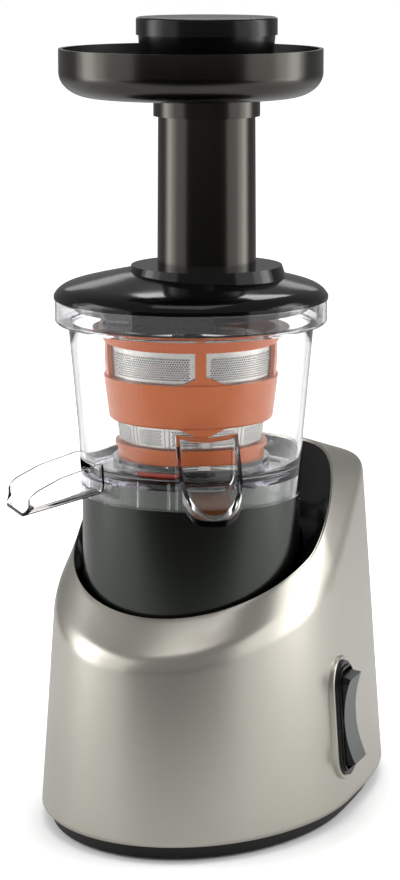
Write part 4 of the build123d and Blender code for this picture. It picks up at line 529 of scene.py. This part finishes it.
# Painted shade: the colour turns grey where a face is seen edge-on, which draws dark edge lines.
painted_edge_shade = add_node(tree, "ShaderNodeMix", {"data_type": "RGBA"},
                {"Factor": edge.outputs[0], 6: colour("#FFFFFF"), 7: colour("#6C717C")})
skin = add_node(tree, "ShaderNodeBsdfPrincipled", None,
                {"Base Color": painted_edge_shade.outputs[2], "Roughness": 0.015, "IOR": 1.45, "Transmission Weight": 1.0,
                 "Normal": bump.outputs[0]})
tree.links.new(skin.outputs[0], out.inputs["Surface"])
cast = add_node(tree, "ShaderNodeVolumeAbsorption", None, {"Color": colour("#B7B5BF"), "Density": 50.0})
tree.links.new(cast.outputs[0], out.inputs["Volume"])
for clear_piece, stood_for in (("clear_bowl", "juicing_bowl"), ("clear_juice_spout", "juice_spout"),
                               ("clear_pulp_spout", "pulp_spout")):
    eased_copy(clear_piece, stood_for, "bowl", clear_plastic, clearance=BOWL_CLEARANCE)


# Skirt ribs: three thin upright ribs on the outside of the bowl's skirt, moulded with it in the same
# clear plastic. Each catches one bright line.
def name_sockets(tree, result, *wanted):
    """Gives a tree its result and its named inputs, and tells each input's identifier by its name."""
    tree.interface.new_socket(result, in_out="OUTPUT", socket_type="NodeSocketGeometry")
    return {name: tree.interface.new_socket(name, in_out="INPUT", socket_type="NodeSocket" + kind).identifier
            for kind, names in wanted for name in names}


def grown(name, tree, knobs, sizes, points=()):
    """Runs a tree once with its sizes, on points if it takes any, and keeps the result as a plain mesh."""
    seed = bpy.data.meshes.new(name + "_seed")
    seed.from_pydata(points, [], [])
    seedling = bpy.data.objects.new(name + "_seed", seed)
    bpy.context.scene.collection.objects.link(seedling)
    growth = seedling.modifiers.new("growth", "NODES")
    growth.node_group = tree
    for size, value in sizes.items():
        growth[knobs[size]] = value
    bpy.context.view_layer.update()
    mesh = bpy.data.meshes.new_from_object(seedling.evaluated_get(bpy.context.evaluated_depsgraph_get()))
    bpy.data.objects.remove(seedling)
    made = bpy.data.objects.new(name, mesh)
    bpy.context.scene.collection.objects.link(made)
    return made


ribbing = bpy.data.node_groups.new("skirt_ribs", "GeometryNodeTree")
rib_knobs = name_sockets(ribbing, "Ribs", ("Geometry", ["Feet"]), ("Float", ["Rib Radius", "Rib Height"]),
                         ("Material", ["Plastic"]))
asked = add_node(ribbing, "NodeGroupInput").outputs
bar = add_node(ribbing, "GeometryNodeMeshCylinder", None,
               {"Vertices": 12, "Radius": asked["Rib Radius"], "Depth": asked["Rib Height"]}).outputs[0]
stood = add_node(ribbing, "GeometryNodeInstanceOnPoints", None,
                 {"Points": asked["Feet"], "Instance": bar}).outputs[0]
stood = add_node(ribbing, "GeometryNodeRealizeInstances", None, {"Geometry": stood}).outputs[0]
stood = add_node(ribbing, "GeometryNodeSetMaterial", None,
                 {"Geometry": stood, "Material": asked["Plastic"]}).outputs[0]
add_node(ribbing, "NodeGroupOutput", None, {0: stood})

RIB_HEADINGS = (-7.7, 9.0, 13.0)
RIB_REACH, RIB_MIDDLE_Z, RIB_TALL, RIB_ROUND = 0.05925, 0.1852, 0.0138, 0.0006
rib_feet = [(RIB_REACH * math.sin(math.radians(heading)), -RIB_REACH * math.cos(math.radians(heading)),
             RIB_MIDDLE_Z) for heading in RIB_HEADINGS]
skirt_ribs = grown("clear_skirt_ribs", ribbing, rib_knobs,
                   {"Rib Radius": RIB_ROUND, "Rib Height": RIB_TALL, "Plastic": clear_plastic}, rib_feet)
skirt_ribs.data.shade_smooth()
skirt_ribs.data.set_sharp_from_angle(angle=math.radians(40.0))
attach(skirt_ribs, "bowl")

# Strainer frame, foot ring and outlet plug: the frame and the ring are injection-moulded polypropylene,
# and hold the steel sheets between them. The plug is silicone, pushed into the bowl's floor.

# Satin orange: a strong even orange. A little light passes under its surface, which softens the shadows.
orange_plastic = moulded("satin_orange_polypropylene", "#DE6C12", 0.34, 1.6, 0.02,
                         {"Subsurface Weight": 0.06, "Subsurface Scale": 0.003})
eased_copy("orange_frame", "strainer_frame", "bowl", orange_plastic)
dress(orange_plastic, "strainer_foot")
# Silicone: redder and duller than the frame.
dress(moulded("orange_silicone", "#C4391F", 0.4, 1.5, 0.06), "pulp_plug")

# Strainer sheets: stainless steel, punched with fine staggered holes, rolled into a ring and moulded
# into the orange frame. Plain strips part the holes. The frame's posts cover them on the upper sheet,
# and on the lower one each carries a pair of pressed ribs.

# Satin stainless: pale grey that the holes darken evenly, with broad highlights on the plain strips.
strainer_steel = bare_metal("satin_stainless_sheet", "#BDBCB7", 0.24, 4.0)

# The sheet is made flat and then rolled. Its girth runs along X, its height along Z and its outside
# faces -Y.
punching = bpy.data.node_groups.new("punched_sheet", "GeometryNodeTree")
knobs = name_sockets(
    punching, "Sheet",
    ("Float", ["Foot Radius", "Lean", "Foot Height", "Head Height", "Girth", "Thickness"]),
    ("Float", ["Pitch", "Row Step", "First Row", "Punched Foot", "Punched Head"]),
    ("Float", ["Hole Radius", "Land Radius", "First Strip", "Strip Spacing", "Narrow Margin"]),
    ("Float", ["Wide Margin", "First Rib", "Rib Gap", "Rib Radius"]),
    ("Int", ["Around", "Rows", "Ribs"]), ("Material", ["Steel"]))
given = add_node(punching, "NodeGroupInput").outputs
index = add_node(punching, "GeometryNodeInputIndex").outputs[0]

# Each cell is a hexagon. Every second row is half a pitch along.
row = add_node(punching, "ShaderNodeMath", {"operation": "DIVIDE"}, {0: index, 1: given["Around"]})
row = add_node(punching, "ShaderNodeMath", {"operation": "FLOOR"}, {0: row.outputs[0]})
column = add_node(punching, "ShaderNodeMath", {"operation": "MODULO"}, {0: index, 1: given["Around"]})
odd_row = add_node(punching, "ShaderNodeMath", {"operation": "MODULO"}, {0: row.outputs[0], 1: 2.0})
column = add_node(punching, "ShaderNodeMath", {"operation": "MULTIPLY_ADD"},
                  {0: odd_row.outputs[0], 1: 0.5, 2: column.outputs[0]})
across = add_node(punching, "ShaderNodeMath", {"operation": "MULTIPLY"},
                  {0: column.outputs[0], 1: given["Pitch"]})
up = add_node(punching, "ShaderNodeMath", {"operation": "MULTIPLY_ADD"},
              {0: row.outputs[0], 1: given["Row Step"], 2: given["First Row"]})
spot = add_node(punching, "ShaderNodeCombineXYZ", None, {"X": across.outputs[0], "Z": up.outputs[0]})
count = add_node(punching, "ShaderNodeMath", {"operation": "MULTIPLY"},
                 {0: given["Around"], 1: given["Rows"]})
cells = add_node(punching, "GeometryNodePoints", None,
                 {"Count": count.outputs[0], "Position": spot.outputs[0]})

# A cell is punched where it clears the nearest strip's margin. Every second strip has the wide margin.
past_strip = add_node(punching, "ShaderNodeMath", {"operation": "SUBTRACT"},
                      {0: across.outputs[0], 1: given["First Strip"]})
half_spacing = add_node(punching, "ShaderNodeMath", {"operation": "MULTIPLY"},
                        {0: given["Strip Spacing"], 1: 0.5})
off_strip = add_node(punching, "ShaderNodeMath", {"operation": "PINGPONG"},
                     {0: past_strip.outputs[0], 1: half_spacing.outputs[0]})
nearest = add_node(punching, "ShaderNodeMath", {"operation": "DIVIDE"},
                   {0: past_strip.outputs[0], 1: given["Strip Spacing"]})
nearest = add_node(punching, "ShaderNodeMath", {"operation": "ROUND"}, {0: nearest.outputs[0]})
odd_strip = add_node(punching, "ShaderNodeMath", {"operation": "PINGPONG"}, {0: nearest.outputs[0], 1: 1.0})
margin = add_node(punching, "ShaderNodeMapRange", None,
                  {"Value": odd_strip.outputs[0], "To Min": given["Narrow Margin"],
                   "To Max": given["Wide Margin"]})
punched = add_node(punching, "ShaderNodeMath", {"operation": "GREATER_THAN"},
                   {0: off_strip.outputs[0], 1: margin.outputs[0]})
blank = add_node(punching, "ShaderNodeMath", {"operation": "SUBTRACT"}, {0: 1.0, 1: punched.outputs[0]})

# A punched cell is a flat land round a bore through the sheet, and a blank one is a plain hexagon.
land = add_node(punching, "GeometryNodeMeshCone", {"fill_type": "NONE"},
                {"Vertices": 6, "Radius Top": given["Hole Radius"], "Radius Bottom": given["Land Radius"],
                 "Depth": 0.0})
bore = add_node(punching, "GeometryNodeMeshCone", {"fill_type": "NONE"},
                {"Vertices": 6, "Radius Top": given["Hole Radius"], "Radius Bottom": given["Hole Radius"],
                 "Depth": given["Thickness"]})
inward = add_node(punching, "ShaderNodeMath", {"operation": "MULTIPLY"}, {0: given["Thickness"], 1: -1.0})
inward = add_node(punching, "ShaderNodeCombineXYZ", None, {"Z": inward.outputs[0]})
bore = add_node(punching, "GeometryNodeTransform", None,
                {"Geometry": bore.outputs[0], "Translation": inward.outputs[0]})
holed = add_node(punching, "GeometryNodeJoinGeometry")
for surface in (land, bore):
    punching.links.new(surface.outputs[0], holed.inputs[0])
plain = add_node(punching, "GeometryNodeMeshCircle", {"fill_type": "NGON"},
                 {"Vertices": 6, "Radius": given["Land Radius"]})
sheet = add_node(punching, "GeometryNodeJoinGeometry")
for cell, chosen in ((holed, punched), (plain, blank)):
    laid = add_node(punching, "GeometryNodeInstanceOnPoints", None,
                    {"Points": cells.outputs[0], "Selection": chosen.outputs[0], "Instance": cell.outputs[0],
                     "Rotation": (math.radians(90.0), math.radians(30.0), 0.0)})
    punching.links.new(laid.outputs[0], sheet.inputs[0])

# Plain bands close the sheet below and above the holes, set back by a hair so as not to fight the cells.
BAND_BACK, BAND_STEPS = 0.00003, 180
half_girth = add_node(punching, "ShaderNodeMath", {"operation": "MULTIPLY"}, {0: given["Girth"], 1: 0.5})
for low, high in ((given["Foot Height"], given["Punched Foot"]),
                  (given["Punched Head"], given["Head Height"])):
    tall = add_node(punching, "ShaderNodeMath", {"operation": "SUBTRACT"}, {0: high, 1: low})
    middle = add_node(punching, "ShaderNodeMath", {"operation": "MULTIPLY_ADD"},
                      {0: tall.outputs[0], 1: 0.5, 2: low})
    middle = add_node(punching, "ShaderNodeCombineXYZ", None,
                      {"X": half_girth.outputs[0], "Y": BAND_BACK, "Z": middle.outputs[0]})
    band = add_node(punching, "GeometryNodeMeshGrid", None,
                    {"Size X": given["Girth"], "Size Y": tall.outputs[0], "Vertices X": BAND_STEPS + 1,
                     "Vertices Y": 2})
    band = add_node(punching, "GeometryNodeTransform", None,
                    {"Geometry": band.outputs[0], "Translation": middle.outputs[0],
                     "Rotation": (math.radians(90.0), 0.0, 0.0)})
    punching.links.new(band.outputs[0], sheet.inputs[0])

# Pressed ribs stand in pairs, one on each side of the middle of each strip.
pair = add_node(punching, "ShaderNodeMath", {"operation": "DIVIDE"}, {0: index, 1: 2.0})
pair = add_node(punching, "ShaderNodeMath", {"operation": "FLOOR"}, {0: pair.outputs[0]})
second = add_node(punching, "ShaderNodeMath", {"operation": "MODULO"}, {0: index, 1: 2.0})
rib_across = add_node(punching, "ShaderNodeMath", {"operation": "MULTIPLY_ADD"},
                      {0: second.outputs[0], 1: given["Rib Gap"], 2: given["First Rib"]})
rib_across = add_node(punching, "ShaderNodeMath", {"operation": "MULTIPLY_ADD"},
                      {0: pair.outputs[0], 1: given["Strip Spacing"], 2: rib_across.outputs[0]})
rib_tall = add_node(punching, "ShaderNodeMath", {"operation": "SUBTRACT"},
                    {0: given["Head Height"], 1: given["Foot Height"]})
rib_middle = add_node(punching, "ShaderNodeMath", {"operation": "MULTIPLY_ADD"},
                      {0: rib_tall.outputs[0], 1: 0.5, 2: given["Foot Height"]})
rib_spot = add_node(punching, "ShaderNodeCombineXYZ", None,
                    {"X": rib_across.outputs[0], "Z": rib_middle.outputs[0]})
rib_points = add_node(punching, "GeometryNodePoints", None,
                      {"Count": given["Ribs"], "Position": rib_spot.outputs[0]})
rib = add_node(punching, "GeometryNodeMeshCylinder", None,
               {"Vertices": 8, "Radius": given["Rib Radius"], "Depth": rib_tall.outputs[0]})
ribs = add_node(punching, "GeometryNodeInstanceOnPoints", None,
                {"Points": rib_points.outputs[0], "Instance": rib.outputs[0]})
punching.links.new(ribs.outputs[0], sheet.inputs[0])

# Rolling turns the way along the girth into a heading, on a cone that leans out from its foot.
whole = add_node(punching, "GeometryNodeRealizeInstances", None, {"Geometry": sheet.outputs[0]})
flat = add_node(punching, "GeometryNodeInputPosition")
flat = add_node(punching, "ShaderNodeSeparateXYZ", None, {0: flat.outputs[0]})
heading = add_node(punching, "ShaderNodeMath", {"operation": "DIVIDE"},
                   {0: flat.outputs["X"], 1: given["Girth"]})
heading = add_node(punching, "ShaderNodeMath", {"operation": "MULTIPLY"},
                   {0: heading.outputs[0], 1: 2 * math.pi})
above_foot = add_node(punching, "ShaderNodeMath", {"operation": "SUBTRACT"},
                      {0: flat.outputs["Z"], 1: given["Foot Height"]})
cone = add_node(punching, "ShaderNodeMath", {"operation": "MULTIPLY_ADD"},
                {0: above_foot.outputs[0], 1: given["Lean"], 2: given["Foot Radius"]})
in_front = add_node(punching, "ShaderNodeMath", {"operation": "SUBTRACT"},
                    {0: flat.outputs["Y"], 1: cone.outputs[0]})
in_front = add_node(punching, "ShaderNodeCombineXYZ", None,
                    {"Y": in_front.outputs[0], "Z": flat.outputs["Z"]})
rolled = add_node(punching, "ShaderNodeVectorRotate", {"rotation_type": "Z_AXIS"},
                  {"Vector": in_front.outputs[0], "Angle": heading.outputs[0]})
whole = add_node(punching, "GeometryNodeSetPosition", None,
                 {"Geometry": whole.outputs[0], "Position": rolled.outputs[0]})
whole = add_node(punching, "GeometryNodeMergeByDistance", None,
                 {"Geometry": whole.outputs[0], "Distance": 0.000008})
whole = add_node(punching, "GeometryNodeSetMaterial", None,
                 {"Geometry": whole.outputs[0], "Material": given["Steel"]})
add_node(punching, "NodeGroupOutput", None, {0: whole.outputs[0]})

# Such sheets have finer holes than these, which are drawn as coarse as they need to be to show.
HOLE_PITCH, HOLE_RADIUS, SHEET_THICKNESS = 0.00135, 0.00048, 0.0005
RIB_PRESS = 0.0005


def rolled_sheet(name, stands_for, around, rows, first_row, strips, first_strip, ribs, rib_gap, sizes):
    """A sheet with so many holes around, rows of holes, plain strips and ribs. The first strip's place is a
    heading in degrees from the front, and the other sizes go to the tree as they are."""
    girth = around * HOLE_PITCH
    strip_place = first_strip / 360 * girth
    row_step = HOLE_PITCH * math.sqrt(3) / 2
    made = grown(name, punching, knobs, {
        **sizes, "Girth": girth, "Thickness": SHEET_THICKNESS, "Pitch": HOLE_PITCH, "Row Step": row_step,
        "First Row": first_row, "Punched Foot": first_row - row_step / 2,
        "Punched Head": first_row + (rows - 0.5) * row_step, "Hole Radius": HOLE_RADIUS,
        "Land Radius": HOLE_PITCH / math.sqrt(3), "Strip Spacing": girth / strips,
        "First Strip": strip_place, "First Rib": strip_place - rib_gap / 2, "Rib Gap": rib_gap,
        "Rib Radius": RIB_PRESS, "Around": around, "Rows": rows, "Ribs": ribs, "Steel": strainer_steel})
    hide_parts(stands_for)
    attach(made, "bowl")


rolled_sheet("upper_punched_sheet", "mesh_upper", around=202, rows=10, first_row=0.2429, strips=4,
             first_strip=26.5, ribs=0, rib_gap=0.0, sizes={
                 "Foot Radius": 0.04259, "Lean": 0.0706, "Foot Height": 0.2385, "Head Height": 0.2585,
                 "Narrow Margin": 0.0054, "Wide Margin": 0.0115})
rolled_sheet("lower_punched_sheet", "mesh_lower", around=176, rows=7, first_row=0.2078, strips=12,
             first_strip=1.0, ribs=24, rib_gap=0.0026, sizes={
                 "Foot Radius": 0.0372, "Lean": 0.133, "Foot Height": 0.2052, "Head Height": 0.2170,
                 "Narrow Margin": 0.0030, "Wide Margin": 0.0030})

# Auger: a screw of glass-filled polymer, moulded round a steel socket that drops over the drive
# shaft's hexagon.

# Charcoal polymer: dark and even, with a dull sheen along the flights.
dress(moulded("charcoal_auger_polymer", "#2A2A2A", 0.35, 1.2, 0.08), "auger_screw")

# Lid and pusher shaft: black ABS from a polished mould, deep and glossy like the recess liner. Three
# lugs of the lid turn under catches inside the bowl's flange, and the shaft slides in the feed tube.
eased_copy("polished_lid", "lid", "lid", piano_black)
dress(piano_black, "pusher_shaft")
